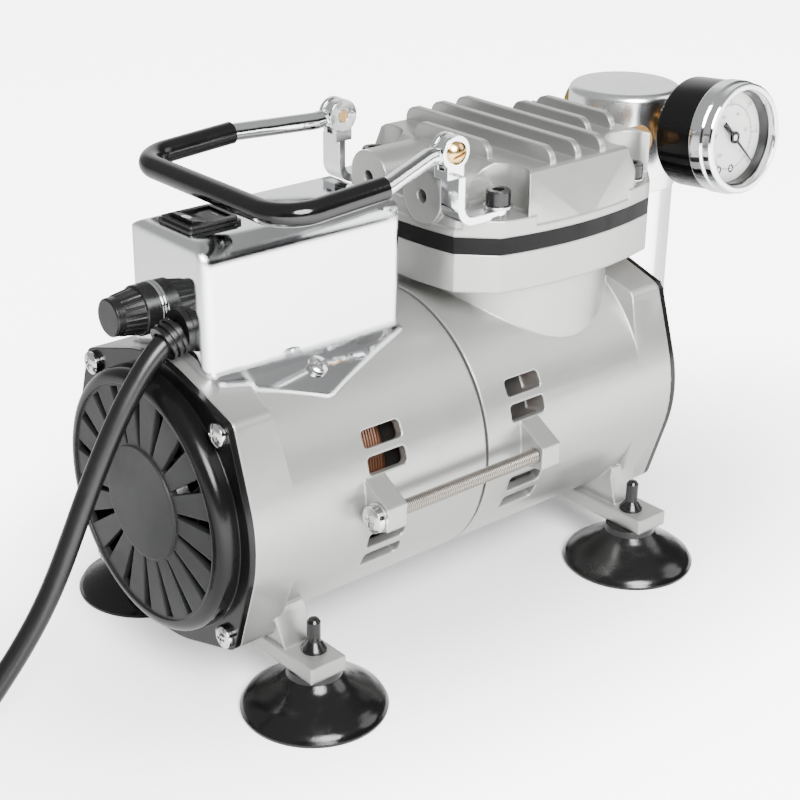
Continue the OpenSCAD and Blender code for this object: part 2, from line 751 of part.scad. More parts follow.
module handle_rod() color(chrome) folded() both_sides() {
    a = arm_angle();
    difference() {
        handle_half(grip_u - 3, rod_d / 2);
        translate([-grip_u, -handle_y, 0]) rotate(a / 2) translate([0, -20, -20]) cube(40);
    }
    intersection() {
        translate([-grip_u, -handle_y, 0]) rotate([0, 90, a]) translate([0, 0, -4]) cylinder(d = rod_d, h = (grip_u - neck_u) / cos(a) + 8);
        translate([-grip_u, -handle_y, 0]) rotate(a / 2) translate([0, -20, -20]) cube([60, 60, 40]);
        translate([-neck_u, -pivot_y, 0]) rotate(a / 2) translate([-60, -30, -20]) cube([60, 60, 40]);
    }
    difference() {
        union() {
            difference() {
                translate([-neck_u - 4, -pivot_y, 0]) rotate([0, 90, 0]) cylinder(d = rod_d, h = 7);
                translate([-neck_u, -pivot_y, 0]) rotate(a / 2) translate([-40, -20, -20]) cube(40);
            }
            ybar(0, -pivot_y - eye_t / 2, 0, eye_t, eye_r);
            translate([-neck_u + 1, -pivot_y - eye_t / 2, -2.6]) cube([neck_u - 1, eye_t, 5.2]);
        }
        ybar(0, -pivot_y - 8, 0, 16, pivot_r + fit);
    }
}

module handle_grip() color(black) folded() difference() {
    both_sides() handle_half(grip_u + 0.5, grip_d / 2);
    both_sides() handle_half(grip_u - 2, rod_d / 2 + fit);
}

// Terminal box

// End view of the box, less its lower side
module box_section(inset) {
    w = 2 * (box_hy - inset);
    r = box_edge - inset;
    translate([-w / 2, 95]) square([w, box_top - inset - r - 95]);
    translate([-w / 2 + r, 95]) square([w - 2 * r, box_top - inset - 95]);
    for (s = [-1, 1]) translate([s * (w / 2 - r), box_top - inset - r]) circle(r);
}

// Solid form of the box with its end edges rounded; inset gives the inside
module box_form(inset) intersection() {
    yz(box_x0 + inset, box_x1 - box_x0 - 2 * inset) box_section(inset);
    translate([0, 0, 90]) linear_extrude(100) translate([(box_x0 + box_x1) / 2, 0])
        round_rect(box_x1 - box_x0 - 2 * inset, 2 * (box_hy - inset), box_end - inset);
    xz(-50, 100) translate([(box_x0 + box_x1) / 2, 90 + (box_top - inset - 90) / 2])
        round_rect(box_x1 - box_x0 - 2 * inset, box_top - inset - 90, box_end - inset);
}

// Tongue that lies on the casting under each long side, with a hole for its screw
module tongues() intersection() {
    difference() {
        rear_body(body_gap + sheet);
        rear_body(body_gap);
    }
    both_sides() translate([0, 0, axis_h]) linear_extrude(60)
        polygon([[box_x0 + 2, -box_hy + 1], [box_x1 - 2, -box_hy + 1], [box_x1 - 2, -box_hy - 2.8],
            [tongue_x + 0.5, -tongue_y], [tongue_x - 2, -tongue_y], [box_x0 + 2, -box_hy - 3.6]]);
}

module terminal_box() color(chrome) difference() {
    union() {
        difference() {
            box_form(0);
            box_form(sheet);
            rear_body(body_gap);
        }
        tongues();
    }
    box_screw_holes();
    translate([switch_x, 0, box_top - 5]) linear_extrude(10) round_rect(switch_hole[0] + 2, switch_hole[1] + 2, 1);
    yz(box_x0 - 1, 4) translate([inlet_y, inlet_z]) circle(6.2 + fit);
    yz(box_x0 - 1, 4) translate([-inlet_y, bush_z]) circle(5.1 + fit);
}

module box_screws() color(chrome) for (s = [-1, 1])
    translate([tongue_x, 0, axis_h]) rotate([s * box_screw_a, 0, 0]) {
        translate([0, 0, body_r + body_gap + sheet + skin]) pan_head(3.4, 2.3);
        translate([0, 0, body_r - 3]) cylinder(r = 1.5, h = 5);
    }

module run_capacitor() color([0.75, 0.76, 0.77]) {
    yz(box_x0 + 34, can_l) translate([0, can_z]) circle(can_r);
    yz(box_x0 + 34 + can_l, 2) translate([0, can_z]) circle(can_r - 3);
}

// Switch frame: bevelled rim over a body with a well for the rocker
module switch_frame() color(black) difference() {
    union() {
        translate([switch_x, 0, box_top + skin]) linear_extrude(switch_h / 2) round_rect(switch_size[0], switch_size[1], 1.2);
        translate([switch_x, 0, box_top + skin]) linear_extrude(switch_h) round_rect(switch_size[0] - 1.8, switch_size[1] - 1.8, 1);
        translate([switch_x, 0, box_top - 14]) linear_extrude(15) round_rect(switch_hole[0] + 1.8, switch_hole[1] + 1.8, 0.9);
    }
    translate([switch_x - switch_hole[0] / 2, -switch_hole[1] / 2, box_top - 8]) cube([switch_hole[0], switch_hole[1], 20]);
    ybar(switch_x, -switch_hole[1] / 2 - 1.1, box_top - 1, switch_hole[1] + 2.2, rocker_pin_r + fit);
}

// Rocker in its off position, on a pin through the walls of the frame
module switch_rocker() color(black) translate([switch_x, 0, box_top - 1]) rotate([0, rocker_a, 0]) {
    xz(-switch_hole[1] / 2 + 0.3, switch_hole[1] - 0.6) difference() {
        polygon([[-6.9, -1.5], [-3.4, -4.6], [3.4, -4.6], [6.9, -1.5], [7.1, 3.4], [0, 2.5], [-7.1, 3.4]]);
        translate([0, 11]) circle(8.6);
    }
    ybar(0, -switch_hole[1] / 2 - 0.7, 0, switch_hole[1] + 1.4, rocker_pin_r);
}

// Fuse holder with its bayonet cap
module fuse_holder() color(black) difference() {
    yz(box_x0 - 1.1, 32) translate([inlet_y, inlet_z]) circle(6.2);
    yz(box_x0 - 5, 32) translate([inlet_y, inlet_z]) circle(3.4);
}

module fuse_ring() color(chrome) yz(box_x0 - 1.1, 1) translate([inlet_y, inlet_z]) difference() {
    circle(8.5);
    circle(6.2 + fit);
}

// Drives the fuse pieces along -X from the face of the box
module fuse_axis() translate([box_x0, inlet_y, inlet_z]) dir_x(-1) children();

module fuse_cap() color(black) fuse_axis() difference() {
    union() {
        translate([0, 0, 1.2]) rotate_extrude() polygon([[0, 0], [8.3, 0], [8.3, 4.9], [7.9, 5.3], [7.5, 5.3],
            [6.4, 12.3], [6.3, 14.8], [5.8, 15.2], [0, 15.2]]);
        for (k = [0:15:345]) rotate(k) translate([7.3, 0, 6.4]) rotate([0, -8.5, 0]) cylinder(r = 0.45, h = 7, $fn = 6);
    }
    translate([0, 0, -1]) cylinder(r = 2.7, h = 12);
}

module fuse_link() color([0.85, 0.86, 0.86]) fuse_axis() translate([0, 0, -12]) cylinder(r = 2.5, h = 20);

// Ribbed bush of the lead: a straight neck through the panel and a drooping outer part
module cord_bush() color(black) translate([box_x0, -inlet_y, bush_z]) difference() {
    union() {
        dir_x(1) translate([0, 0, -0.5]) cylinder(r = 5.1, h = 5);
        dir_x(-1) translate([0, 0, skin]) cylinder(r = 7, h = 2.2);
        rotate([0, -90 - bush_a, 0]) rotate_extrude() polygon([[0, 2.4], [5.6, 2.4], [5.6, 3.1], [6.4, 3.1], [6.4, 4.3],
            [5.6, 4.3], [5.6, 5.1], [6.2, 5.1], [6.2, 6.3], [5.3, 6.3], [5.3, 7.1], [5.9, 7.1], [5.9, 8.3], [0, 8.3]]);
    }
    rotate([0, -90 - bush_a, 0]) translate([0, 0, -8]) cylinder(r = cord_d / 2 + 0.5, h = 26);
}

// Feet

// Suction cup with its neck through the leg and a soft stem above it
module foot(x, y) color(black) translate([x, y, 0]) rotate_extrude() polygon([[0, 3.8], [9, 3.6], [17, 2.4], [22.8, 0],
    [cup_d / 2, 0], [cup_d / 2 + 0.2, 1], [cup_d / 2 - 1, 3], [20, 5.6], [15.4, 8.2], [11.4, 11], [9.4, 13.2],
    [9, leg_top - leg_t - skin], [3.2, leg_top - leg_t - skin], [3.2, leg_top + skin], [4.3, leg_top + skin],
    [4.3, leg_top + 0.9], [3.1, leg_top + 2.6], [stem_d / 2, leg_top + 3.6], [stem_d / 2, leg_top + stem_h - 1.4],
    [stem_d / 2 - 0.7, leg_top + stem_h - 0.4], [0, leg_top + stem_h]]);

module foot_rear_left() foot(-leg_x, leg_y);

module foot_rear_right() foot(-leg_x, -leg_y);

module foot_front_left() foot(leg_x, leg_y);

module foot_front_right() foot(leg_x, -leg_y);

// Trap

module trap_nipple() color(brass) difference() {
    yz(cyl_x + 34, trap_x - cyl_x - 34 - cap_r + 5) translate([trap_y, nipple_z]) circle(4);
    yz(0, 200) translate([trap_y, nipple_z]) circle(2);
}

// Button of sintered bronze with its plug in the head
module exhaust_silencer() color([0.62, 0.42, 0.24]) translate([head_front_x - 3, silencer_y, silencer_z]) dir_x(1)
    rotate_extrude() polygon([[0, -9], [4, -9], [4, 0], [5, 0], [5, 8], [4, 9.2], [0, 9.2]]);

// Carries the gauge pieces: local z runs from the trap axis out to the gauge
module gauge_axis() translate([trap_x, trap_y, gauge_root_z]) rotate([90 - gauge_tilt, 0, 0]) children();

module trap_cap() color(chrome) difference() {
    translate([trap_x, trap_y, 0]) {
        translate([0, 0, cap_low]) cylinder(r = cap_r, h = cap_top - cap_low - 3);
        translate([0, 0, cap_low]) cylinder(r = cap_r - 3, h = cap_top - cap_low);
        translate([0, 0, cap_top - 3]) rotate_extrude() translate([cap_r - 3, 0]) circle(3);
    }
    translate([trap_x, trap_y, cap_low - 1]) cylinder(r = neck_r + 0.15, h = ledge_z - cap_low + 1);
    translate([trap_x, trap_y, ledge_z - 1]) cylinder(r = filter_r + fit, h = 15);
    yz(trap_x - cap_r - 1, cap_r - 3) translate([trap_y, nipple_z]) circle(4 + fit);
    gauge_axis() cylinder(r = 4 + fit, h = cap_r + 5);
    ybar(trap_x, trap_y + 5, nipple_z, cap_r, 6.5 + fit);
}

module trap_seal() color(black) translate([trap_x, trap_y, ledge_z - 1.5]) difference() {
    cylinder(r = neck_r, h = 1.4);
    translate([0, 0, -1]) cylinder(r = neck_r - jar_wall - 0.4, h = 4);
}

// Clear jar with a neck that goes up into the cap
module trap_jar() color([0.8, 0.85, 0.88, 0.35]) translate([trap_x, trap_y, 0]) difference() {
    union() {
        translate([0, 0, jar_low + 5]) cylinder(r = jar_r, h = cap_low - 0.2 - jar_low - 5);
        translate([0, 0, jar_low]) cylinder(r = jar_r - 5, h = 10);
        translate([0, 0, jar_low + 5]) rotate_extrude() translate([jar_r - 5, 0]) circle(5);
        translate([0, 0, jar_low + 5]) cylinder(r = neck_r, h = ledge_z - 1.6 - jar_low - 5);
    }
    translate([0, 0, jar_low + 3]) cylinder(r = neck_r - jar_wall, h = ledge_z - jar_low);
}

module trap_filter() color([0.9, 0.9, 0.86]) translate([trap_x, trap_y, 0]) {
    translate([0, 0, ledge_z - filter_l]) cylinder(r = filter_r, h = filter_l + 6);
    translate([0, 0, ledge_z - filter_l - 3]) cylinder(r = filter_r + 1.6, h = 4);
}

module inlet_bush() color(brass) difference() {
    union() {
        ybar(trap_x, trap_y + 8, nipple_z, cap_r - 4, 6.5);
        ybar(trap_x, trap_y + cap_r, nipple_z, 3, 8.2);
    }
    ybar(trap_x, trap_y + 7, nipple_z, 40, inlet_d / 2);
}

// Gauge

module gauge_stem() color(brass) gauge_axis() {
    translate([0, 0, filter_r + 0.6]) cylinder(r = 4, h = gauge_front - gauge_depth - filter_r - 0.6 + 4);
    translate([0, 0, cap_r + 0.6]) cylinder(r = 5.6, h = 3);
    translate([0, 0, gauge_front - gauge_depth - 8.4]) cylinder(r = 7, h = 8.2, $fn = 6);
}

module gauge_case() color(black) gauge_axis() difference() {
    union() {
        translate([0, 0, gauge_front - gauge_depth + 1.5]) cylinder(r = gauge_r - 0.5, h = gauge_depth - bezel_t - 1.6);
        translate([0, 0, gauge_front - gauge_depth]) cylinder(r = gauge_r - 2, h = 5);
        translate([0, 0, gauge_front - gauge_depth + 1.5]) rotate_extrude() translate([gauge_r - 2, 0]) circle(1.5);
        translate([0, 0, gauge_front - bezel_t - 2]) cylinder(r = gauge_r - 2.2, h = 2 + bezel_t - 3.75);
    }
    translate([0, 0, gauge_front - gauge_depth + 3]) cylinder(r = gauge_r - 4, h = 40);
    translate([0, 0, gauge_front - gauge_depth - 1]) cylinder(r = 4 + fit, h = 6);
}

module gauge_bezel() color(chrome) gauge_axis() translate([0, 0, gauge_front - bezel_t]) difference() {
    rotate_extrude() polygon([[gauge_r - 2.1, 0], [gauge_r, 0], [gauge_r, 5], [gauge_r - 0.7, 5.7],
        [gauge_r - 0.7, 8.7], [gauge_r - 1.3, bezel_t], [gauge_r - 2.9, bezel_t], [gauge_r - 3.4, 8.2],
        [gauge_r - 3.4, 5.8], [gauge_r - 2.1, 5.8]]);
}

module gauge_glass() color([0.9, 0.94, 0.95, 0.3]) gauge_axis() translate([0, 0, gauge_front - 3.5 - skin])
    cylinder(r = gauge_r - 3.5, h = 1.4);

// Dial with the spindle that carries the pointer
module gauge_dial() color([0.96, 0.96, 0.94]) gauge_axis() {
    translate([0, 0, gauge_front - bezel_t + 1.2]) cylinder(r = gauge_r - 4.1, h = 0.8);
    translate([0, 0, gauge_front - bezel_t + 1.2]) cylinder(r = spindle_r, h = needle_v - gauge_front + bezel_t - 0.4, $fn = 24);
}

// Pointer with a round boss and a broad tail
module gauge_needle() color(black) gauge_axis() translate([0, 0, needle_v]) rotate(needle_a) {
    linear_extrude(0.9) difference() {
        circle(2.3);
        circle(spindle_r + fit, $fn = 24);
    }
    linear_extrude(0.5) difference() {
        polygon([[-8, -1], [-1.5, -0.8], [0, -0.5], [15.2, -0.15], [15.2, 0.15], [0, 0.5], [-1.5, 0.8], [-8, 1]]);
        circle(1.9);
    }
}

// Lead

function unit(v) = v / norm(v);
function ring_at(p, t, r, n) = let (s = unit(cross(t, [0, 0, 1])), u = cross(s, t))
    [for (k = [0:n - 1]) p + r * (cos(360 * (k + 0.5) / n) * s + sin(360 * (k + 0.5) / n) * u)];

// Round tube through the points p, with square ends
module tube(p, r, n) {
    m = len(p);
    t = [for (i = [0:m - 1]) unit(p[min(i + 1, m - 1)] - p[max(i - 1, 0)])];
    polyhedron(points = [for (i = [0:m - 1]) each ring_at(p[i], t[i], r, n)],
        faces = concat([[for (k = [0:n - 1]) k]], [[for (k = [n - 1:-1:0]) (m - 1) * n + k]],
            [for (i = [0:m - 2], k = [0:n - 1]) let (a = i * n + k, b = i * n + (k + 1) % n)
                each [[a, a + n, b], [b, a + n, b + n]]]));
}

module on_table() intersection() {
    children();
    translate([-400, -200, 0]) cube([800, 500, 300]);
}

module cord_run() color(black) on_table()
    tube([for (p = cord_points) [p[0], -inlet_y, p[1]]], cord_d / 2, 12);

// Coil: one layer wound inwards on the table, then a second wound outwards on top of it
function ease(x) = let (c = min(1, max(0, x))) c * c * (3 - 2 * c);
function coil_radius(t) = coil_r - coil_pitch * (t < coil_up ? t : 2 * coil_up - t);
function coil_point(t) = let (a = -90 - 360 * t, r = coil_radius(t))
    [coil_c[0] + r * cos(a), coil_c[1] + r * sin(a), cord_z + coil_lift * ease((t - coil_in) / (coil_up + 0.12 - coil_in))];
coil_tail = [[14, 0], [25, 0.3], [35, 1.5], [45, 3], [55, 3.9], [62, 3.9]];
coil_path = concat([for (i = [0:coil_end * 24]) coil_point(i / 24)],
    [for (d = coil_tail) coil_point(coil_end) + [0, d[0], -d[1]]]);
coil_gap = min([for (i = [0:len(coil_path) - 1], j = [i + 14:1:len(coil_path) - 1]) norm(coil_path[i] - coil_path[j])]) - cord_d;

module cord_coil() color(black) {
    echo(coil_gap = coil_gap);
    on_table() tube(coil_path, cord_d / 2, 6);
}

// Flat two-pin plug at the end of the lead
plug_h = 2 * (cord_z + coil_lift - 3.9);

module cord_plug() color(black) translate([coil_c[0] - coil_r + coil_pitch * (2 * coil_up - coil_end), coil_c[1] + 48, 0]) {
    difference() {
        union() {
            intersection() {
                linear_extrude(plug_h) polygon([[-5.4, 12], [5.4, 12], [7, 20], [16, 29], [17, 32], [17, 50], [15.6, 52],
                    [-15.6, 52], [-17, 50], [-17, 32], [-16, 29], [-7, 20]]);
                xz(0, 60) translate([0, plug_h / 2]) round_rect(34, plug_h, 5.6);
            }
            translate([0, 0, plug_h / 2]) rotate([-90, 0, 0]) rotate_extrude() polygon([[0, 0], [4.7, 0], [4.7, 2.4],
                [4.1, 2.4], [4.1, 3.6], [5, 3.6], [5, 6], [4.4, 6], [4.4, 7.2], [5.3, 7.2], [5.3, 14], [0, 14]]);
        }
        translate([0, -1, plug_h / 2]) rotate([-90, 0, 0]) cylinder(r = cord_d / 2 + 0.2, h = 17);
    }
    for (x = [-9, 9]) ybar(x, 50, plug_h / 2, 21, 2);
}

translate([-centre_x, 0, 0]) rear_motor_housing();
translate([-centre_x, 0, 0]) crankcase_housing();
translate([-centre_x, 0, 0]) rear_fan_cover();
translate([-centre_x, 0, 0]) front_fan_cover();
translate([-centre_x, 0, 0]) rear_cover_screws();
translate([-centre_x, 0, 0]) front_cover_screws();
translate([-centre_x, 0, 0]) tie_bolts();
translate([-centre_x, 0, 0]) tie_washers();
translate([-centre_x, 0, 0]) stator_core();
translate([-centre_x, 0, 0]) stator_windings();
translate([-centre_x, 0, 0]) shaft_bearings();
translate([-centre_x, 0, 0]) motor_shaft();
translate([-centre_x, 0, 0]) rotor_core();
translate([-centre_x, 0, 0]) rear_fan();
translate([-centre_x, 0, 0]) front_fan();
translate([-centre_x, 0, 0]) eccentric();
translate([-centre_x, 0, 0]) connecting_rod();
translate([-centre_x, 0, 0]) piston_seal();
translate([-centre_x, 0, 0]) cylinder_sleeve();
translate([-centre_x, 0, 0]) valve_plate();
translate([-centre_x, 0, 0]) reed_valves();
translate([-centre_x, 0, 0]) cylinder_head();
translate([-centre_x, 0, 0]) head_screws();
translate([-centre_x, 0, 0]) head_washers();
translate([-centre_x, 0, 0]) handle_brackets();
translate([-centre_x, 0, 0]) handle_pivots();
translate([-centre_x, 0, 0]) handle_rod();
translate([-centre_x, 0, 0]) handle_grip();
translate([-centre_x, 0, 0]) terminal_box();
translate([-centre_x, 0, 0]) box_screws();
translate([-centre_x, 0, 0]) run_capacitor();
translate([-centre_x, 0, 0]) switch_frame();
translate([-centre_x, 0, 0]) switch_rocker();
translate([-centre_x, 0, 0]) fuse_holder();
translate([-centre_x, 0, 0]) fuse_ring();
translate([-centre_x, 0, 0]) fuse_cap();
translate([-centre_x, 0, 0]) fuse_link();
translate([-centre_x, 0, 0]) cord_bush();
translate([-centre_x, 0, 0]) foot_rear_left();
translate([-centre_x, 0, 0]) foot_rear_right();
translate([-centre_x, 0, 0]) foot_front_left();
translate([-centre_x, 0, 0]) foot_front_right();
translate([-centre_x, 0, 0]) trap_nipple();
translate([-centre_x, 0, 0]) exhaust_silencer();
translate([-centre_x, 0, 0]) trap_cap();
translate([-centre_x, 0, 0]) trap_seal();
translate([-centre_x, 0, 0]) trap_filter();
translate([-centre_x, 0, 0]) trap_jar();
translate([-centre_x, 0, 0]) inlet_bush();
translate([-centre_x, 0, 0]) gauge_stem();
translate([-centre_x, 0, 0]) gauge_case();
translate([-centre_x, 0, 0]) gauge_bezel();
translate([-centre_x, 0, 0]) gauge_glass();
translate([-centre_x, 0, 0]) gauge_dial();
translate([-centre_x, 0, 0]) gauge_needle();
translate([-centre_x, 0, 0]) cord_run();
translate([-centre_x, 0, 0]) cord_coil();
translate([-centre_x, 0, 0]) cord_plug();
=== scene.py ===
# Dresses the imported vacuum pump: studio, mains lead, finishes, dial print and switch marks
import bpy
import math
from mathutils import Matrix, Vector
from mathutils.geometry import interpolate_bezier
from bpy.props import FloatProperty, FloatVectorProperty, IntProperty, PointerProperty


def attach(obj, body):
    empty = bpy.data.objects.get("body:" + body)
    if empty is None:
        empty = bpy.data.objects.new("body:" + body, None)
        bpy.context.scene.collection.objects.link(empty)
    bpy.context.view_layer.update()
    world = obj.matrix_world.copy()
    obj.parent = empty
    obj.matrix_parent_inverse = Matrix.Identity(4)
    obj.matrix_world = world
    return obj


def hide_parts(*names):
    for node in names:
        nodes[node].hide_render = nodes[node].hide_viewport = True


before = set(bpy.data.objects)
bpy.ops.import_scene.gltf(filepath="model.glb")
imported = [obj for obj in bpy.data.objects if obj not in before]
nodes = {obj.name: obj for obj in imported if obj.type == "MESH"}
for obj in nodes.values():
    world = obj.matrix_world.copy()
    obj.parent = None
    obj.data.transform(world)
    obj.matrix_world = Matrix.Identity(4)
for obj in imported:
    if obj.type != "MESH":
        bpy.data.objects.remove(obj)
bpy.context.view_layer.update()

bl_info = {
    "name": "Piston Vacuum Pump",
    "version": (1, 0, 0),
    "blender": (4, 5, 0),
    "location": "3D View > Sidebar > Pump",
    "description": "Dresses a portable piston vacuum pump on its packed frame",
    "category": "Object",
}

# Places on the pump, in mm
MM = 0.001
SEAM = -21.0                     # seam between the castings, from the middle of the footprint
AXIS = 65.0                      # height of the motor axis
TRAP_X, TRAP_Y = 130.6, 14.6     # upright axis of the trap
BOX_TOP = 154.8                  # top of the terminal box


def at(x, y, z):
    """Point given in mm from the seam between the castings"""
    return Vector(((x + SEAM) * MM, y * MM, z * MM))


# Settings
class StageSettings(bpy.types.PropertyGroup):
    floor_size: FloatProperty(
        name="Floor size", description="Side of the studio floor", default=9.0, unit="LENGTH")
    floor_colour: FloatVectorProperty(
        name="Floor colour", description="Colour of the studio floor", size=3,
        default=(0.9, 0.9, 0.9), subtype="COLOR")
    azimuth: FloatProperty(
        name="Azimuth", description="Direction the camera looks from",
        default=math.radians(-41.07), subtype="ANGLE")
    elevation: FloatProperty(
        name="Elevation", description="Angle of the camera above the table",
        default=math.radians(24.47), subtype="ANGLE")
    roll: FloatProperty(
        name="Roll", description="Roll of the camera", default=math.radians(0.80), subtype="ANGLE")
    camera_place: FloatVectorProperty(
        name="Camera place", description="Where the camera stands", size=3,
        default=(-0.3826, -0.4188, 0.3226), subtype="TRANSLATION")
    lens: FloatProperty(
        name="Lens", description="Focal length in mm on a 36 mm sensor", default=75.744)
    key_power: FloatProperty(
        name="Key light", description="Power of the large light from the front left",
        default=76.0, unit="POWER")
    fill_power: FloatProperty(
        name="Fill light", description="Power of the light from the front right",
        default=5.0, unit="POWER")
    floor_glow: FloatProperty(
        name="Floor glow", description="Light that the pale floor adds in the picture",
        default=5.5)
    world_light: FloatProperty(
        name="Room light", description="Strength of the light from all round", default=0.5)


class LeadSettings(bpy.types.PropertyGroup):
    diameter: FloatProperty(
        name="Diameter", description="Outer diameter of the lead", default=0.007, unit="LENGTH")
    offset: FloatProperty(
        name="Offset", description="Distance of the lead from the middle of the box",
        default=0.0086, unit="LENGTH")
    coil_radius: FloatProperty(
        name="Coil radius", description="Radius of the outer turn", default=0.052, unit="LENGTH")
    coil_pitch: FloatProperty(
        name="Coil pitch", description="Spacing of the turns", default=0.00805, unit="LENGTH")
    tie_width: FloatProperty(
        name="Tie width", description="Width of the band that holds the coil",
        default=0.013, unit="LENGTH")
    colour: FloatVectorProperty(
        name="Colour", description="Colour of the lead's sheath", size=3,
        default=(0.005, 0.005, 0.005), subtype="COLOR")


class FinishSettings(bpy.types.PropertyGroup):
    silver: FloatVectorProperty(
        name="Casting paint", description="Silver paint of the castings", size=3,
        default=(0.36, 0.36, 0.35), subtype="COLOR")
    black: FloatVectorProperty(
        name="Black parts", description="Black of the covers, grip and rubber", size=3,
        default=(0.004, 0.004, 0.004), subtype="COLOR")
    chrome: FloatVectorProperty(
        name="Chrome", description="Colour of the plated parts", size=3,
        default=(0.82, 0.83, 0.84), subtype="COLOR")
    brass: FloatVectorProperty(
        name="Brass", description="Colour of the brass fittings", size=3,
        default=(0.72, 0.47, 0.20), subtype="COLOR")
    casting_round: FloatProperty(
        name="Casting edges", description="Rounding of the cast edges",
        default=0.0011, unit="LENGTH")
    small_round: FloatProperty(
        name="Small edges", description="Rounding of small metal edges",
        default=0.0003, unit="LENGTH")


class DialSettings(bpy.types.PropertyGroup):
    ring_radius: FloatProperty(
        name="Ring radius", description="Radius of the line between the two scales",
        default=0.0120, unit="LENGTH")
    number_size: FloatProperty(
        name="Number size", description="Height of the printed numbers",
        default=0.0024, unit="LENGTH")
    start: FloatProperty(
        name="Zero", description="Angle of the zero mark from the right",
        default=math.radians(-46), subtype="ANGLE")
    sweep: FloatProperty(
        name="Sweep", description="Angle of the whole scale",
        default=math.radians(270), subtype="ANGLE")
    steps: IntProperty(
        name="Steps", description="Small divisions of the outer scale", default=30, min=10, max=80)


# Mesh helpers
def clear_selection():
    """Leaves object mode with nothing selected"""
    if bpy.context.object and bpy.context.object.mode != "OBJECT":
        bpy.ops.object.mode_set(mode="OBJECT")
    bpy.ops.object.select_all(action="DESELECT")


def make_active(obj):
    """Selects one object alone"""
    clear_selection()
    obj.select_set(True)
    bpy.context.view_layer.objects.active = obj


def settle(obj):
    """Moves an object's place and turn into its mesh"""
    make_active(obj)
    bpy.ops.object.transform_apply(location=True, rotation=True, scale=True)
    return obj


def name_piece(obj, name):
    """Names an object and its data"""
    obj.name = name
    obj.data.name = name
    return obj


def join_pieces(parts, name):
    """Joins finished meshes into one piece"""
    clear_selection()
    for part in parts:
        part.select_set(True)
    bpy.context.view_layer.objects.active = parts[0]
    if len(parts) > 1:
        bpy.ops.object.join()
    return name_piece(settle(bpy.context.object), name)


def as_mesh(obj):
    """Turns a curve or a text into a mesh"""
    make_active(obj)
    bpy.ops.object.convert(target="MESH")
    return bpy.context.object


def thicken(obj, thickness, offset):
    """Gives a surface a wall"""
    wall = obj.modifiers.new("Wall", "SOLIDIFY")
    wall.thickness = thickness
    wall.offset = offset
    make_active(obj)
    bpy.ops.object.modifier_apply(modifier=wall.name)


def pick(obj, kind, chosen):
    """Enters edit mode with the edges or faces selected that chosen accepts"""
    bpy.ops.object.mode_set(mode="EDIT")
    bpy.ops.mesh.select_mode(type=kind)
    bpy.ops.mesh.select_all(action="DESELECT")
    bpy.ops.object.mode_set(mode="OBJECT")
    for item in obj.data.edges if kind == "EDGE" else obj.data.polygons:
        item.select = chosen(item)
    bpy.ops.object.mode_set(mode="EDIT")


def paint(obj, material):
    """Makes a material the only one of an object"""
    obj.data.materials.clear()
    obj.data.materials.append(material)


# Shader helpers
def add_node(tree, kind, values=None, **settings):
    """Adds a node; values go to its sockets, as constants or links, and settings to the node"""
    node = tree.nodes.new(kind)
    for key, value in settings.items():
        setattr(node, key, value)
    for key, value in (values or {}).items():
        if isinstance(value, bpy.types.NodeSocket):
            tree.links.new(value, node.inputs[key])
        else:
            node.inputs[key].default_value = value
    return node


def calc(tree, operation, a, b=0.0, c=0.0):
    """Result of one sum on sockets or numbers"""
    return add_node(tree, "ShaderNodeMath", {0: a, 1: b, 2: c}, operation=operation).outputs[0]


def hypot(tree, a, b):
    """Length of two distances at a right angle"""
    squares = calc(tree, "ADD", calc(tree, "MULTIPLY", a, a), calc(tree, "MULTIPLY", b, b))
    return calc(tree, "SQRT", squares)


def remap(tree, value, low, high, new_low, new_high, smooth=False):
    """Value moved from one range to another, held at its ends"""
    ranges = {"From Min": low, "From Max": high, "To Min": new_low, "To Max": new_high}
    node = add_node(tree, "ShaderNodeMapRange", {"Value": value, **ranges})
    if smooth:
        node.interpolation_type = "SMOOTHSTEP"
    return node.outputs["Result"]


def blend_colours(tree, factor, a, b):
    """Mix of two colours by a factor that changes over the surface"""
    node = add_node(tree, "ShaderNodeMix", data_type="RGBA")
    for socket, value in ((node.inputs[0], factor), (node.inputs[6], a), (node.inputs[7], b)):
        if isinstance(value, bpy.types.NodeSocket):
            tree.links.new(value, socket)
        else:
            socket.default_value = (*value[:3], 1.0)
    return node.outputs[2]


def new_group(name, inputs, outputs):
    """Empty node group with named sockets, and its inner ends"""
    tree = bpy.data.node_groups.new(name, "ShaderNodeTree")
    for label, default in inputs:
        socket = tree.interface.new_socket(label, in_out="INPUT", socket_type="NodeSocketFloat")
        socket.default_value = default
    for label, kind in outputs:
        tree.interface.new_socket(label, in_out="OUTPUT", socket_type=kind)
    source, end = tree.nodes.new("NodeGroupInput"), tree.nodes.new("NodeGroupOutput")
    return tree, source.outputs, end.inputs


def grain_group():
    """Fine grain of a surface: a height for bump, its specks and a slow tone"""
    tree, source, end = new_group(
        "Surface grain", [("Size", 0.0005), ("Patch", 0.02)],
        [("Height", "NodeSocketFloat"), ("Speck", "NodeSocketFloat"), ("Tone", "NodeSocketFloat")])
    place = add_node(tree, "ShaderNodeTexCoord").outputs["Object"]
    small = calc(tree, "DIVIDE", 1.0, source[0])
    large = calc(tree, "DIVIDE", 1.0, source[1])
    fine = add_node(tree, "ShaderNodeTexNoise",
                    {"Vector": place, "Scale": small, "Detail": 3.0, "Roughness": 0.6})
    speck = add_node(tree, "ShaderNodeTexVoronoi", {"Vector": place, "Scale": small})
    slow = add_node(tree, "ShaderNodeTexNoise",
                    {"Vector": place, "Scale": large, "Detail": 4.0, "Roughness": 0.55})
    tree.links.new(fine.outputs[0], end[0])
    tree.links.new(speck.outputs["Distance"], end[1])
    tree.links.new(slow.outputs[0], end[2])
    return tree


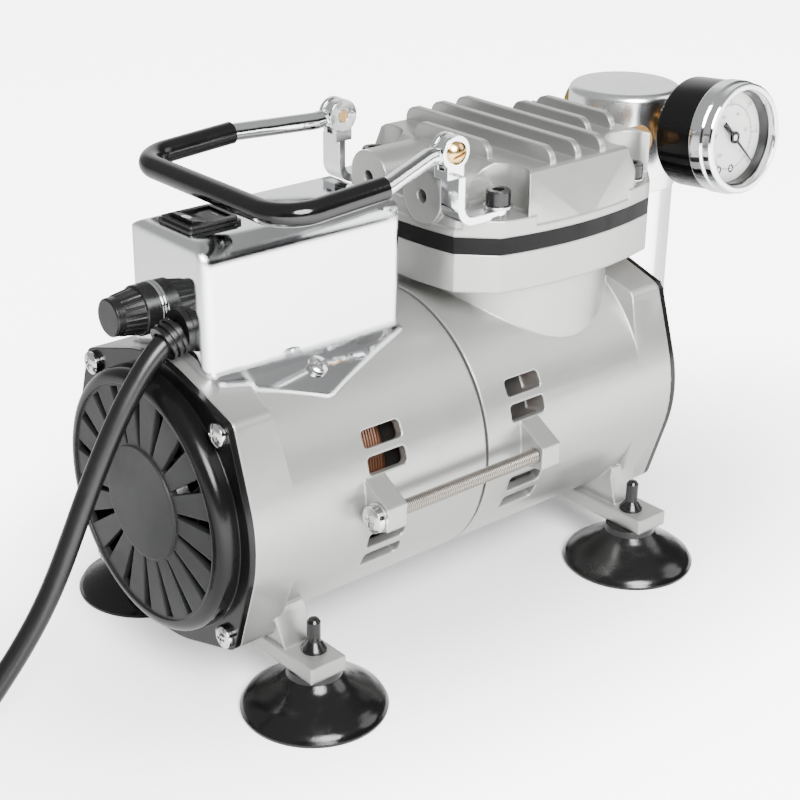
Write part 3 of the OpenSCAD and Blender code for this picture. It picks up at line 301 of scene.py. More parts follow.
def edge_group():
    """Rounded edges: a normal that turns over the edge, and a mask along it"""
    tree, source, end = new_group(
        "Rounded edges", [("Radius", 0.0005)],
        [("Normal", "NodeSocketVector"), ("Edge", "NodeSocketFloat")])
    bevel = add_node(tree, "ShaderNodeBevel", {"Radius": source[0]}, samples=6)
    flat = add_node(tree, "ShaderNodeNewGeometry").outputs["Normal"]
    facing = add_node(tree, "ShaderNodeVectorMath", {0: bevel.outputs[0], 1: flat},
                      operation="DOT_PRODUCT").outputs["Value"]
    tree.links.new(bevel.outputs[0], end[0])
    tree.links.new(remap(tree, facing, 0.98, 0.80, 0.0, 1.0), end[1])
    return tree


def marks_group():
    """Handling marks: faint smears and hairline scratches"""
    tree, source, end = new_group(
        "Handling marks", [("Size", 0.03)],
        [("Smear", "NodeSocketFloat"), ("Scratch", "NodeSocketFloat")])
    place = add_node(tree, "ShaderNodeTexCoord").outputs["Object"]
    scale = calc(tree, "DIVIDE", 1.0, source[0])
    smear = add_node(tree, "ShaderNodeTexNoise",
                     {"Vector": place, "Scale": scale, "Detail": 5.0, "Roughness": 0.65,
                      "Distortion": 0.6})
    stretched = add_node(tree, "ShaderNodeMapping",
                         {"Vector": place, "Rotation": (0.5, 0.3, 0.9), "Scale": (14.0, 1.0, 1.0)})
    hair = add_node(tree, "ShaderNodeTexNoise",
                    {"Vector": stretched.outputs[0], "Scale": calc(tree, "MULTIPLY", scale, 6.0),
                     "Detail": 2.0})
    tree.links.new(remap(tree, smear.outputs[0], 0.45, 0.7, 0.0, 1.0), end[0])
    tree.links.new(remap(tree, hair.outputs[0], 0.62, 0.72, 0.0, 1.0), end[1])
    return tree


GROUP_MAKERS = {
    "Surface grain": grain_group, "Rounded edges": edge_group, "Handling marks": marks_group}


def effect(tree, name, **values):
    """Places one of the shared groups in a material, built the first time it is needed"""
    node = tree.nodes.new("ShaderNodeGroup")
    node.node_tree = bpy.data.node_groups.get(name) or GROUP_MAKERS[name]()
    for key, value in values.items():
        node.inputs[key].default_value = value
    return node.outputs


class Finish:
    """One node material: grain, handling marks, rounded edges and the values of its shader"""

    def __init__(self, name, colour, rough, metallic=0.0, tone=0.12, spread=0.06, grain=0.0006,
                 depth=0.00002, patch=0.02, edge=0.0003, wear=None, **constants):
        self.material = bpy.data.materials.new(name)
        self.material.use_nodes = True
        self.tree = tree = self.material.node_tree
        self.shader = tree.nodes["Principled BSDF"]
        self.shader.inputs["Metallic"].default_value = metallic
        for key, value in constants.items():
            self.shader.inputs[key.replace("_", " ")].default_value = value
        self.grain = effect(tree, "Surface grain", Size=grain, Patch=patch)
        self.edges = effect(tree, "Rounded edges", Radius=edge)
        marks = effect(tree, "Handling marks", Size=patch * 1.5)
        darker = [c * (1 - tone) for c in colour]
        lighter = [min(1.0, c * (1 + tone)) for c in colour]
        self.colour = blend_colours(tree, self.grain["Tone"], darker, lighter)
        specks = calc(tree, "MULTIPLY", self.grain["Speck"], 0.5 * tone)
        self.colour = blend_colours(tree, specks, self.colour, (0.0, 0.0, 0.0))
        # Lighter colour along the rounded edges; on the castings this is a painted highlight
        if wear:
            edge_colour, amount = wear
            mask = calc(tree, "MULTIPLY", self.edges["Edge"], amount)
            self.colour = blend_colours(tree, mask, self.colour, edge_colour)
        self.rough = remap(tree, marks["Smear"], 0.0, 1.0, rough - spread / 2, rough + spread)
        self.depth = depth
        self.normal = self.edges["Normal"]

    def place(self):
        """Point on the surface"""
        return add_node(self.tree, "ShaderNodeTexCoord").outputs["Object"]

    def coordinate(self, axis):
        """One coordinate of the point on the surface"""
        return add_node(self.tree, "ShaderNodeSeparateXYZ", {0: self.place()}).outputs[axis]

    def off_axis(self, centre, along="X"):
        """The two distances of the point from a line through centre"""
        back = tuple(-c for c in centre)
        moved = add_node(self.tree, "ShaderNodeMapping", {"Vector": self.place(), "Location": back})
        parts = add_node(self.tree, "ShaderNodeSeparateXYZ", {0: moved.outputs[0]}).outputs
        return (parts[1], parts[2]) if along == "X" else (parts[0], parts[1])

    def relief(self, height, depth):
        """Adds a relief; the one added last is the finest"""
        bump = add_node(self.tree, "ShaderNodeBump",
                        {"Height": height, "Distance": depth, "Normal": self.normal})
        self.normal = bump.outputs[0]

    def ripple(self, scale, detail, depth):
        """Adds slow waves, as cast, rolled and bent metal has"""
        waves = add_node(self.tree, "ShaderNodeTexNoise",
                         {"Vector": self.place(), "Scale": scale, "Detail": detail})
        self.relief(waves.outputs[0], depth)

    def done(self, smooth=False):
        """Links the finish to the shader; smooth leaves the normal alone, as clear glass needs"""
        self.tree.links.new(self.colour, self.shader.inputs["Base Color"])
        self.tree.links.new(self.rough, self.shader.inputs["Roughness"])
        if not smooth:
            self.relief(self.grain["Height"], self.depth)
            self.tree.links.new(self.normal, self.shader.inputs["Normal"])
        return self.material


WELD_DISTANCE = 0.000002
SHARP_ANGLE = math.radians(32)


def smooth_group():
    """Geometry nodes that weld a CAD mesh and shade it smooth up to sharp edges"""
    tree = bpy.data.node_groups.new("Smooth surface", "GeometryNodeTree")
    for end in ("INPUT", "OUTPUT"):
        tree.interface.new_socket("Geometry", in_out=end, socket_type="NodeSocketGeometry")
    source = tree.nodes.new("NodeGroupInput")
    end = tree.nodes.new("NodeGroupOutput")
    weld = add_node(tree, "GeometryNodeMergeByDistance",
                    {"Geometry": source.outputs[0], "Distance": WELD_DISTANCE})
    faces = add_node(tree, "GeometryNodeSetShadeSmooth",
                     {"Geometry": weld.outputs[0], "Shade Smooth": True}, domain="FACE")
    angle = add_node(tree, "GeometryNodeInputMeshEdgeAngle")
    soft = add_node(tree, "FunctionNodeCompare", {"A": angle.outputs[0], "B": SHARP_ANGLE},
                    operation="LESS_EQUAL")
    edges = add_node(tree, "GeometryNodeSetShadeSmooth",
                     {"Geometry": faces.outputs[0], "Shade Smooth": soft.outputs[0]}, domain="EDGE")
    tree.links.new(edges.outputs[0], end.inputs[0])
    return tree


def finish_nodes(material, *names):
    """Gives CAD nodes a material and smooth shading"""
    group = bpy.data.node_groups.get("Smooth surface") or smooth_group()
    for name in names:
        paint(nodes[name], material)
        nodes[name].modifiers.new("Smooth surface", "NODES").node_group = group


# Studio
FLOOR_DROP = 0.00005      # the floor lies just under the feet
BACKDROP = 13.0           # brightness of the room as the camera sees it
BACK_WALL = 3.2           # brightness of the patch behind the trap


def camera_turn(azimuth, elevation, roll):
    """Rotation of a camera that looks at the object from these angles"""
    back = Vector((math.sin(azimuth) * math.cos(elevation),
                   -math.cos(azimuth) * math.cos(elevation), math.sin(elevation)))
    side = (-back).cross(Vector((0, 0, 1))).normalized()
    up = side.cross(-back)
    turned = side * math.cos(roll) + up * math.sin(roll)
    raised = up * math.cos(roll) - side * math.sin(roll)
    return Matrix((turned, raised, back)).transposed()


class PUMP_OT_stage(bpy.types.Operator):
    """Adds the camera, the pale floor and the soft studio lights"""
    bl_idname = "pump.stage"
    bl_label = "Studio"

    def execute(self, context):
        s = context.scene.pump_stage
        self.camera(context, s)
        self.floor(context, s)
        self.area("key_light", (-0.40, -1.10, 0.98), (0.0, 0.0, 0.08), 0.85, s.key_power)
        self.area("fill_light", (1.0, -0.7, 0.75), (0.02, 0.0, 0.08), 0.8, s.fill_power)
        self.room(context.scene, s.world_light)
        return {"FINISHED"}

    def camera(self, context, s):
        clear_selection()
        bpy.ops.object.camera_add(location=s.camera_place)
        camera = context.object
        camera.rotation_mode = "QUATERNION"
        camera.rotation_quaternion = camera_turn(s.azimuth, s.elevation, s.roll).to_quaternion()
        camera.data.sensor_width = 36.0
        camera.data.lens = s.lens
        camera.data.clip_start = 0.02
        context.scene.camera = camera

    def floor(self, context, s):
        clear_selection()
        bpy.ops.mesh.primitive_plane_add(size=s.floor_size, location=(0, 0, -FLOOR_DROP))
        floor = name_piece(settle(context.object), "studio_floor")
        pale = Finish("studio pale", s.floor_colour, 0.55, tone=0.01, spread=0.02, grain=0.002,
                      depth=0.0, patch=0.5)
        # The floor's emission is painted light: a glow with a painted shadow under the pump and
        # painted reflections in polished parts
        pale.tree.links.new(self.glow(pale, s.floor_glow), pale.shader.inputs["Emission Strength"])
        pale.shader.inputs["Emission Color"].default_value = (1.0, 1.0, 1.0, 1.0)
        paint(floor, pale.done())

    def glow(self, pale, strength):
        """Painted glow of the floor, for the camera, through clear parts and as painted reflection
        in polished ones; it fades out under the pump as a painted shadow
        """
        tree = pale.tree
        path = add_node(tree, "ShaderNodeLightPath").outputs
        bounces = calc(tree, "ADD", path["Diffuse Depth"], path["Glossy Depth"])
        direct = calc(tree, "LESS_THAN", bounces, 0.5)
        clear = calc(tree, "MULTIPLY", path["Is Transmission Ray"], direct)
        seen = calc(tree, "ADD", path["Is Camera Ray"], clear)
        around = add_node(tree, "ShaderNodeMapping",
                          {"Vector": pale.place(), "Scale": (0.75, 1.5, 0.0)})
        away = add_node(tree, "ShaderNodeVectorMath", {0: around.outputs[0]}, operation="LENGTH")
        # The glow fades to nothing under the pump: a painted shadow beneath it
        glow_outside_painted_shadow = remap(tree, away.outputs["Value"], 0.04, 0.26, 0.0, strength, smooth=True)
        # Glow seen in polished parts, stronger towards the camera side: a painted reflection
        painted_reflection_front = remap(tree, pale.coordinate("Y"), -0.02, -0.30, 0.06, 0.7, smooth=True)
        painted_reflection_glow = calc(tree, "MULTIPLY", path["Is Glossy Ray"], painted_reflection_front)
        return calc(tree, "MULTIPLY", glow_outside_painted_shadow, calc(tree, "ADD", seen, painted_reflection_glow))

    def area(self, name, place, aim, size, power):
        clear_selection()
        bpy.ops.object.light_add(type="AREA", location=place)
        light = bpy.context.object
        light.name = name
        light.data.shape = "DISK"
        light.data.size = size
        light.data.energy = power
        light.rotation_mode = "QUATERNION"
        light.rotation_quaternion = (Vector(aim) - Vector(place)).to_track_quat("-Z", "Y")

    def room(self, scene, strength):
        """Light walls and a dark zone in front, which polished metal needs to show its form"""
        scene.world = world = bpy.data.worlds.new("studio_room")
        world.use_nodes = True
        tree = world.node_tree
        place = add_node(tree, "ShaderNodeTexCoord").outputs["Generated"]
        parts = add_node(tree, "ShaderNodeSeparateXYZ", {0: place}).outputs

        def zone(axis, start, full, amount=1.0):
            return remap(tree, parts[axis], start, full, 0.0, amount, smooth=True)

        low_front = calc(tree, "MULTIPLY", zone("Y", -0.15, -0.55), zone("Z", 0.62, 0.40))
        wall = calc(tree, "MULTIPLY", zone("Y", 0.2, 0.6), zone("Z", 0.75, 0.5))
        wall = calc(tree, "MULTIPLY", wall, zone("X", 0.0, 0.4))
        camera_ray = add_node(tree, "ShaderNodeLightPath").outputs["Is Camera Ray"]
        shade = (1.0, 1.0, 1.0)
        for mask, colour in ((low_front, (0.045, 0.045, 0.047)),
                             (zone("X", 0.35, 0.85, 0.8), (0.06, 0.06, 0.062)),
                             (wall, (BACK_WALL,) * 3),
                             (camera_ray, (BACKDROP,) * 3)):
            shade = blend_colours(tree, mask, shade, colour)
        tree.links.new(shade, tree.nodes["Background"].inputs["Color"])
        tree.nodes["Background"].inputs["Strength"].default_value = strength


# Mains lead, in mm
ROUTE = [
    (-92.4, 125.4), (-96, 124.4), (-99.4, 122.9), (-102.6, 121), (-105.6, 118.6),
    (-108.6, 115.6), (-112.4, 111), (-117, 104.8), (-121.4, 98), (-125.6, 90.8), (-129.8, 83.2),
    (-134.2, 74.6), (-139, 65), (-144.4, 54.8), (-150.2, 45.4), (-157, 36.4), (-164.6, 27.8),
    (-172.6, 19.6), (-181, 12), (-190, 6), (-200, 3.6), (-209.9, 3.5)]
COIL_MIDDLE = -210.0      # middle of the coil, in X
COIL_TURNS = 6.25
COIL_STEPS = 24           # points in a turn
LAYER_TURNS = 3           # turns in one layer
LAYER_HEIGHT = 7.2        # from one layer to the next
LEAD_REST = 3.5           # middle of the lead over the table
CLIMB_START, CLIMB_TURNS = 2.66, 0.46
COIL_TAIL = [(14, 0), (25, 0.3), (35, 1.5), (45, 3), (55, 3.9), (62, 3.9)]

# Band round the coil, in m
BAND_GAP = 0.0012
BAND_HEIGHT = 0.0156
BAND_ROUND = 0.0045
BAND_WALL = 0.0009


def ease(x):
    """Smooth step from 0 to 1"""
    c = min(1.0, max(0.0, x))
    return c * c * (3 - 2 * c)


def coil_point(s, t):
    """Point t turns along the coil: one layer wound inwards, then one outwards on top of it"""
    angle = math.radians(-90 - 360 * t)
    inwards = t if t < LAYER_TURNS else 2 * LAYER_TURNS - t
    radius = s.coil_radius / MM - s.coil_pitch / MM * inwards
    middle = s.coil_radius / MM - s.offset / MM
    rise = ease((t - CLIMB_START) / CLIMB_TURNS)
    return (COIL_MIDDLE + radius * math.cos(angle), middle + radius * math.sin(angle),
            LEAD_REST + LAYER_HEIGHT * rise)


def curve_length(points):
    """Length of a Bezier curve"""
    total = 0.0
    for p, q in zip(points, points[1:]):
        fine = interpolate_bezier(p.co, p.handle_right, q.handle_left, q.co, 9)
        total += sum((b - a).length for a, b in zip(fine, fine[1:]))
    return total


class PUMP_OT_lead(bpy.types.Operator):
    """Lays the mains lead from its bush to the table and into a tied coil"""
    bl_idname = "pump.lead"
    bl_label = "Mains lead"

    def execute(self, context):
        s = context.scene.pump_lead
        route = [at(x, -s.offset / MM, z) for x, z in ROUTE]
        route += [at(*coil_point(s, i / COIL_STEPS))
                  for i in range(1, int(COIL_TURNS * COIL_STEPS) + 1)]
        last = coil_point(s, COIL_TURNS)
        route += [at(last[0], last[1] + y, last[2] - z) for y, z in COIL_TAIL]

        clear_selection()
        bpy.ops.curve.primitive_bezier_curve_add()
        lead = name_piece(context.object, "mains_lead")
        lead.location = (0, 0, 0)
        curve = lead.data
        curve.splines.clear()
        spline = curve.splines.new("BEZIER")
        spline.bezier_points.add(len(route) - 1)
        for point, place in zip(spline.bezier_points, route):
            point.co = place
            point.handle_left_type = point.handle_right_type = "AUTO"
        curve.dimensions = "3D"
        curve.resolution_u = curve.render_resolution_u = 4
        curve.bevel_depth = s.diameter / 2
        curve.bevel_resolution = 5
        curve.use_fill_caps = True
        sheath = Finish("lead sheath", s.colour, 0.36, tone=0.15, spread=0.1, grain=0.0004,
                        patch=0.03, edge=0.0002, Specular_IOR_Level=0.4)
        curve.materials.append(sheath.done())
        context.view_layer.update()
        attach(lead, "pump")
        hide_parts("cord_run", "cord_coil")
        tie = self.tie(context, s)
        length = curve_length(spline.bezier_points)
        return {"FINISHED"}

    def tie(self, context, s):
        """Band round the turns, on the side away from the pump"""
        inner = s.coil_radius - LAYER_TURNS * s.coil_pitch - s.diameter / 2 - BAND_GAP
        outer = s.coil_radius + s.diameter / 2 + BAND_GAP
        middle = at(COIL_MIDDLE, (s.coil_radius - s.offset) / MM, 0)
        clear_selection()
        bpy.ops.mesh.primitive_cube_add(
            size=1, location=middle + Vector((0, (inner + outer) / 2, BAND_HEIGHT / 2)),
            scale=(s.tie_width, outer - inner, BAND_HEIGHT))
        band = settle(context.object)

        def runs_across(edge):
            a, b = (band.data.vertices[i].co for i in edge.vertices)
            return abs((a - b).x) > 0.5 * s.tie_width

        pick(band, "EDGE", runs_across)
        bpy.ops.mesh.bevel(offset=BAND_ROUND, segments=6)
        pick(band, "FACE", lambda face: abs(face.normal.x) > 0.9)
        bpy.ops.mesh.delete(type="FACE")
        bpy.ops.object.mode_set(mode="OBJECT")
        thicken(band, BAND_WALL, -1)
        bpy.ops.object.shade_smooth_by_angle(angle=math.radians(40))
        name_piece(band, "lead_tie")
        woven = Finish("woven tie", (0.02, 0.02, 0.022), 0.85, tone=0.3, grain=0.0003,
                       depth=0.0001, edge=0.0002)
        paint(band, woven.done())
        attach(band, "pump")
        return band


# Finishes
MOTOR_AXIS = (0, 0, AXIS * MM)
FACE_RADIUS, HUB_RADIUS = 0.0400, 0.0193     # sunk grille and raised middle of a fan cover
BOX_FOOT, BOX_BODY = 0.100, 0.110            # the box's edges grow rounder between these heights
BOLT_MIDDLE = -18.0                          # middle of the tie bolts, in mm from the seam
BOLT_BARE = 0.0345                           # half the length of bolt that shows its thread
THREAD_PITCH = 0.0008
LAMINATIONS = 2000.0                         # in one metre


class PUMP_OT_castings(bpy.types.Operator):
    """Paints the castings and the head silver"""
    bl_idname = "pump.castings"
    bl_label = "Castings"

    def execute(self, context):
        s = context.scene.pump_finish
        # The lighter edge colour given here is a painted highlight on the rounded cast edges
        cast = Finish("silver casting paint", s.silver, 0.36, metallic=0.72, tone=0.05,
                      spread=0.05, grain=0.00035, depth=0.000022, patch=0.035,
                      edge=s.casting_round, wear=((0.62, 0.62, 0.61), 0.35))
        cast.ripple(260.0, 2.0, 0.00006)
        finish_nodes(cast.done(), "rear_motor_housing", "crankcase_housing", "cylinder_head")
        return {"FINISHED"}


class PUMP_OT_covers(bpy.types.Operator):
    """Finishes the black fan covers, with a glossy rim and a duller grille"""
    bl_idname = "pump.covers"
    bl_label = "Fan covers"

    def execute(self, context):
        s = context.scene.pump_finish
        cover = Finish("fan cover enamel", s.black, 0.2, tone=0.1, spread=0.08, grain=0.0005,
                       depth=0.00001, edge=0.0007, Specular_IOR_Level=0.22)
        radius = hypot(cover.tree, *cover.off_axis(MOTOR_AXIS))
        face = remap(cover.tree, radius, FACE_RADIUS, FACE_RADIUS + 0.0004, 1.0, 0.0)
        hub = remap(cover.tree, radius, HUB_RADIUS, HUB_RADIUS + 0.0002, 1.0, 0.0)
        for mask in (face, hub):
            cover.colour = blend_colours(cover.tree, mask, cover.colour, (0.02, 0.02, 0.021))
        duller = calc(cover.tree, "MULTIPLY", face, 0.2)
        cover.rough = calc(cover.tree, "ADD", cover.rough, duller)
        finish_nodes(cover.done(), "rear_fan_cover", "front_fan_cover")
        return {"FINISHED"}


class PUMP_OT_chrome(bpy.types.Operator):
    """Plates the terminal box, the handle rod, its brackets and the trap cap"""
    bl_idname = "pump.chrome"
    bl_label = "Chrome and polished metal"

    def execute(self, context):
        s = context.scene.pump_finish
        sheet = Finish("chromed sheet", s.chrome, 0.05, metallic=1.0, tone=0.04, spread=0.04,
                       grain=0.001, depth=0.000003, patch=0.03)
        edge = remap(sheet.tree, sheet.coordinate("Z"), BOX_FOOT, BOX_BODY, 0.0009, 0.0028)
        sheet.tree.links.new(edge, sheet.edges[0].node.inputs["Radius"])
        sheet.ripple(22.0, 1.0, 0.0006)
        finish_nodes(sheet.done(), "terminal_box")

        bar = Finish("chromed bar", s.chrome, 0.06, metallic=1.0, tone=0.04, spread=0.05,
                     grain=0.0007, depth=0.000008, edge=0.0006)
        bar.ripple(180.0, 2.0, 0.00015)
        finish_nodes(bar.done(), "handle_rod", "handle_brackets", "fuse_ring", "gauge_bezel")

        cap = Finish("polished aluminium", (0.83, 0.84, 0.85), 0.26, metallic=1.0, tone=0.04,
                     depth=0.000004, edge=0.0006)
        radius = hypot(cap.tree, *cap.off_axis(at(TRAP_X, TRAP_Y, 0), "Z"))
        turns = calc(cap.tree, "MULTIPLY", radius, 9000.0)
        rings = add_node(cap.tree, "ShaderNodeTexNoise", {"W": turns, "Scale": 1.0, "Detail": 2.0},
                         noise_dimensions="1D")
        cap.relief(rings.outputs[0], 0.000006)
        finish_nodes(cap.done(), "trap_cap")
        return {"FINISHED"}


class PUMP_OT_hardware(bpy.types.Operator):
    """Finishes the screws, washers, tie bolts and brass fittings"""
    bl_idname = "pump.hardware"
    bl_label = "Screws and fittings"

    def execute(self, context):
        s = context.scene.pump_finish
        zinc = Finish("plated screws", (0.75, 0.75, 0.74), 0.14, metallic=1.0, tone=0.08,
                      spread=0.1, grain=0.0004, depth=0.00001, patch=0.006, edge=s.small_round)
        finish_nodes(zinc.done(), "rear_cover_screws", "front_cover_screws", "box_screws")
        finish_nodes(self.threaded(s), "tie_bolts")
        washer = Finish("steel washers", (0.56, 0.56, 0.55), 0.3, metallic=1.0, tone=0.1,
                        spread=0.1, grain=0.0005, depth=0.00001, patch=0.006, edge=s.small_round)
        finish_nodes(washer.done(), "tie_washers", "head_washers")
        oxide = Finish("black oxide screws", (0.014, 0.014, 0.015), 0.3, metallic=0.4, tone=0.2,
                       spread=0.12, grain=0.0004, patch=0.005, edge=s.small_round,
                       wear=((0.10, 0.10, 0.10), 0.5))
        finish_nodes(oxide.done(), "head_screws")
        brass = Finish("brass fittings", s.brass, 0.22, metallic=1.0, spread=0.12, grain=0.0005,
                       patch=0.006, edge=s.small_round)
        finish_nodes(brass.done(), "handle_pivots", "trap_nipple", "inlet_bush", "gauge_stem")
        bronze = Finish("sintered bronze", (0.50, 0.27, 0.10), 0.6, metallic=0.7, tone=0.45,
                        spread=0.2, grain=0.0009, depth=0.00035, patch=0.003, edge=s.small_round)
        finish_nodes(bronze.done(), "exhaust_silencer")
        return {"FINISHED"}

    def threaded(self, s):
        """Polished heads, and a grooved grey thread between the lugs, its grooves darkened in
        colour as painted shade
        """
        bolt = Finish("threaded rod", (0.70, 0.70, 0.69), 0.14, metallic=1.0, tone=0.1,
                      spread=0.1, grain=0.0004, depth=0.00001, patch=0.008, edge=s.small_round)
        tree, along = bolt.tree, bolt.coordinate("X")
        pitch = calc(tree, "PINGPONG", calc(tree, "DIVIDE", along, THREAD_PITCH), 0.5)
        away = calc(tree, "ABSOLUTE", calc(tree, "SUBTRACT", along, (BOLT_MIDDLE + SEAM) * MM))
        inner = remap(tree, away, BOLT_BARE, BOLT_BARE + 0.0005, 1.0, 0.0)
        # Thread roots darker in colour than the crests: painted shade in the grooves
        painted_groove_shade = blend_colours(tree, calc(tree, "MULTIPLY", pitch, 2.0),
                               (0.10, 0.09, 0.08), (0.40, 0.37, 0.33))
        bolt.colour = blend_colours(tree, inner, bolt.colour, painted_groove_shade)
        bolt.rough = calc(tree, "ADD", bolt.rough, calc(tree, "MULTIPLY", inner, 0.25))
        bolt.relief(calc(tree, "MULTIPLY", pitch, inner), 0.0006)
        return bolt.done()


class PUMP_OT_mouldings(bpy.types.Operator):
    """Finishes the black mouldings, the grip and the rubber feet"""
    bl_idname = "pump.mouldings"
    bl_label = "Mouldings and rubber"

    def execute(self, context):
        s = context.scene.pump_finish
        grip = Finish("vinyl grip", s.black, 0.14, tone=0.1, spread=0.08, grain=0.002,
                      depth=0.00004, edge=0.0004, Specular_IOR_Level=0.4)
        finish_nodes(grip.done(), "handle_grip")
        moulded = Finish("black moulding", (0.006, 0.006, 0.006), 0.3, tone=0.1, spread=0.1,
                         grain=0.0004, patch=0.01, Specular_IOR_Level=0.35)
        finish_nodes(moulded.done(), "switch_frame", "switch_rocker", "fuse_holder", "fuse_cap",
                     "cord_plug", "cord_bush")
        rubber = Finish("glossy rubber", s.black, 0.2, tone=0.15, spread=0.14, grain=0.0008,
                        depth=0.00003, patch=0.015, edge=0.0005, Specular_IOR_Level=0.4)
        finish_nodes(rubber.done(), "foot_rear_left", "foot_rear_right", "foot_front_left",
                     "foot_front_right")
        seal = Finish("dull rubber", (0.016, 0.016, 0.016), 0.55, tone=0.15, spread=0.1,
                      grain=0.0005, depth=0.00004)
        finish_nodes(seal.done(), "trap_seal", "piston_seal")
        plate = Finish("black anodised plate", (0.005, 0.005, 0.005), 0.48, tone=0.15, spread=0.1,
                       grain=0.0004, depth=0.00003, patch=0.01, edge=0.0004,
                       Specular_IOR_Level=0.1)
        finish_nodes(plate.done(), "valve_plate")
        case = Finish("gauge enamel", s.black, 0.1, tone=0.1, spread=0.05, grain=0.002,
                      depth=0.00001, edge=0.0005, Specular_IOR_Level=0.25)
        finish_nodes(case.done(), "gauge_case")
        return {"FINISHED"}


class PUMP_OT_motor(bpy.types.Operator):
    """Finishes the motor, the fans and the parts of the cylinder"""
    bl_idname = "pump.motor"
    bl_label = "Motor and cylinder"

    def execute(self, context):
        finish_nodes(self.wire(), "stator_windings")
        plates = Finish("lamination steel", (0.035, 0.035, 0.036), 0.6, metallic=0.3, tone=0.15,
                        grain=0.0005)
        layers = calc(plates.tree, "MULTIPLY", plates.coordinate("X"), LAMINATIONS)
        plates.relief(calc(plates.tree, "PINGPONG", layers, 0.5), 0.0003)
        finish_nodes(plates.done(), "stator_core", "rotor_core")
        ground = Finish("ground steel", (0.55, 0.55, 0.56), 0.25, metallic=1.0, tone=0.08,
                        grain=0.0005, depth=0.00001, patch=0.01)
        finish_nodes(ground.done(), "shaft_bearings", "motor_shaft", "eccentric",
                     "cylinder_sleeve", "reed_valves")
        bare = Finish("bare aluminium", (0.66, 0.66, 0.67), 0.35, metallic=1.0, tone=0.08,
                      depth=0.00003)
        finish_nodes(bare.done(), "connecting_rod", "run_capacitor")
        fan = Finish("fan moulding", (0.018, 0.018, 0.019), 0.45)
        finish_nodes(fan.done(), "rear_fan", "front_fan")
        link = Finish("fuse tube", (0.75, 0.77, 0.77), 0.15, metallic=0.4, tone=0.05, patch=0.005)
        finish_nodes(link.done(), "fuse_link")
        return {"FINISHED"}

    def wire(self):
        """Copper strands that wind slowly round the motor axis"""
        # The copper is far darker than bare copper: painted shade of the inside of the motor
        wire = Finish("enamelled copper", (0.10, 0.04, 0.018), 0.45, metallic=0.4, tone=0.2,
                      spread=0.15, grain=0.0008, depth=0.00003, patch=0.01, edge=0.0004)
        tree = wire.tree
        a, b = wire.off_axis(MOTOR_AXIS)
        across = calc(tree, "ADD", calc(tree, "MULTIPLY", wire.coordinate("X"), 900.0),
                      calc(tree, "MULTIPLY", hypot(tree, a, b), 1100.0))
        twist = calc(tree, "MULTIPLY", calc(tree, "ARCTAN2", b, a), 2.0)
        wire.relief(calc(tree, "PINGPONG", calc(tree, "ADD", across, twist), 0.5), 0.0006)
        return wire.done()


class PUMP_OT_glass(bpy.types.Operator):
    """Makes the jar and the gauge glass clear, and finishes what is behind them"""
    bl_idname = "pump.glass"
    bl_label = "Glass and dial"

    def execute(self, context):
        for name, node, index in (("clear jar", "trap_jar", 1.47),
                                  ("gauge crystal", "gauge_glass", 1.12)):
            glass = Finish(name, (1.0, 1.0, 1.0), 0.02, tone=0.01, spread=0.02, grain=0.003,
                           edge=0.0002, Transmission_Weight=1.0, IOR=index)
            finish_nodes(glass.done(smooth=True), node)
        felt = Finish("filter felt", (0.86, 0.86, 0.83), 0.8, tone=0.06, depth=0.0002)
        finish_nodes(felt.done(), "trap_filter")
        dial = Finish("dial enamel", (0.88, 0.88, 0.86), 0.45, tone=0.01, grain=0.001,
                      depth=0.000004, edge=0.0001)
        finish_nodes(dial.done(), "gauge_dial")
        hand = Finish("pointer enamel", (0.006, 0.006, 0.006), 0.5, tone=0.1, patch=0.004,
                      edge=0.0001, Specular_IOR_Level=0.06)
        finish_nodes(hand.done(), "gauge_needle")
        return {"FINISHED"}


# Print on the gauge, places in mm and marks in m
GAUGE_TILT = math.radians(5.4)
GAUGE_Z, GAUGE_REACH = 154.9, 60.1    # height of the gauge, and its reach from the trap axis
DIAL_FACE = 53.068                    # from the trap axis to the face of the dial
INK_THICK = 0.00003
NUMBER_RADIUS, INNER_NUMBER_RADIUS = 0.0151, 0.0088
NUMBERED = 5                          # small divisions from one number to the next
RIVETS = ((-0.0065, -0.0114), (0.0005, -0.0120))

# Marks of the rocker, in mm from its pin
SWITCH_X = -80.5                      # middle of the switch
ROCKER_TURN = math.radians(7)         # tip of the rocker at rest
ROCKER_FALL, ROCKER_RUN = 0.9, 7.1    # slope of each half of its face
ROCKER_MARK_X, ROCKER_MARK_Z = 5.4, 2.5
ROCKER_MARK_THICK = 0.0001            # in m


def lay(obj, turn, place):
    """Stands a flat print, drawn in X and Y, on the surface that turn and place describe"""
    obj.matrix_world = Matrix.Translation(place) @ turn.to_4x4() @ obj.matrix_basis
    return settle(obj)


def bar_mark(x, y, length, width, angle, thick):
    """Straight mark whose middle is at x, y"""
    clear_selection()
    bpy.ops.mesh.primitive_cube_add(size=1, location=(x, y, thick / 2), rotation=(0, 0, angle),
                                    scale=(length, width, thick))
    return settle(bpy.context.object)


def ring_mark(x, y, radius, width, thick, sides=64):
    """Flat ring with its middle at x, y"""
    clear_selection()
    bpy.ops.curve.primitive_bezier_circle_add(radius=radius, location=(x, y, thick / 2))
    ring = bpy.context.object
    ring.data.dimensions = "3D"
    ring.data.resolution_u = sides // 4
    ring.data.extrude = thick / 2
    ring = as_mesh(ring)
    thicken(ring, width, 0)
    return settle(ring)


def text_mark(words, x, y, size, thick):
    """Number with its middle at x, y"""
    clear_selection()
    bpy.ops.object.text_add(location=(x, y, thick / 2))
    text = bpy.context.object
    text.data.body = words
    text.data.size = size
    text.data.align_x = text.data.align_y = "CENTER"
    text.data.extrude = thick / 2
    text.data.resolution_u = 3
    return settle(as_mesh(text))


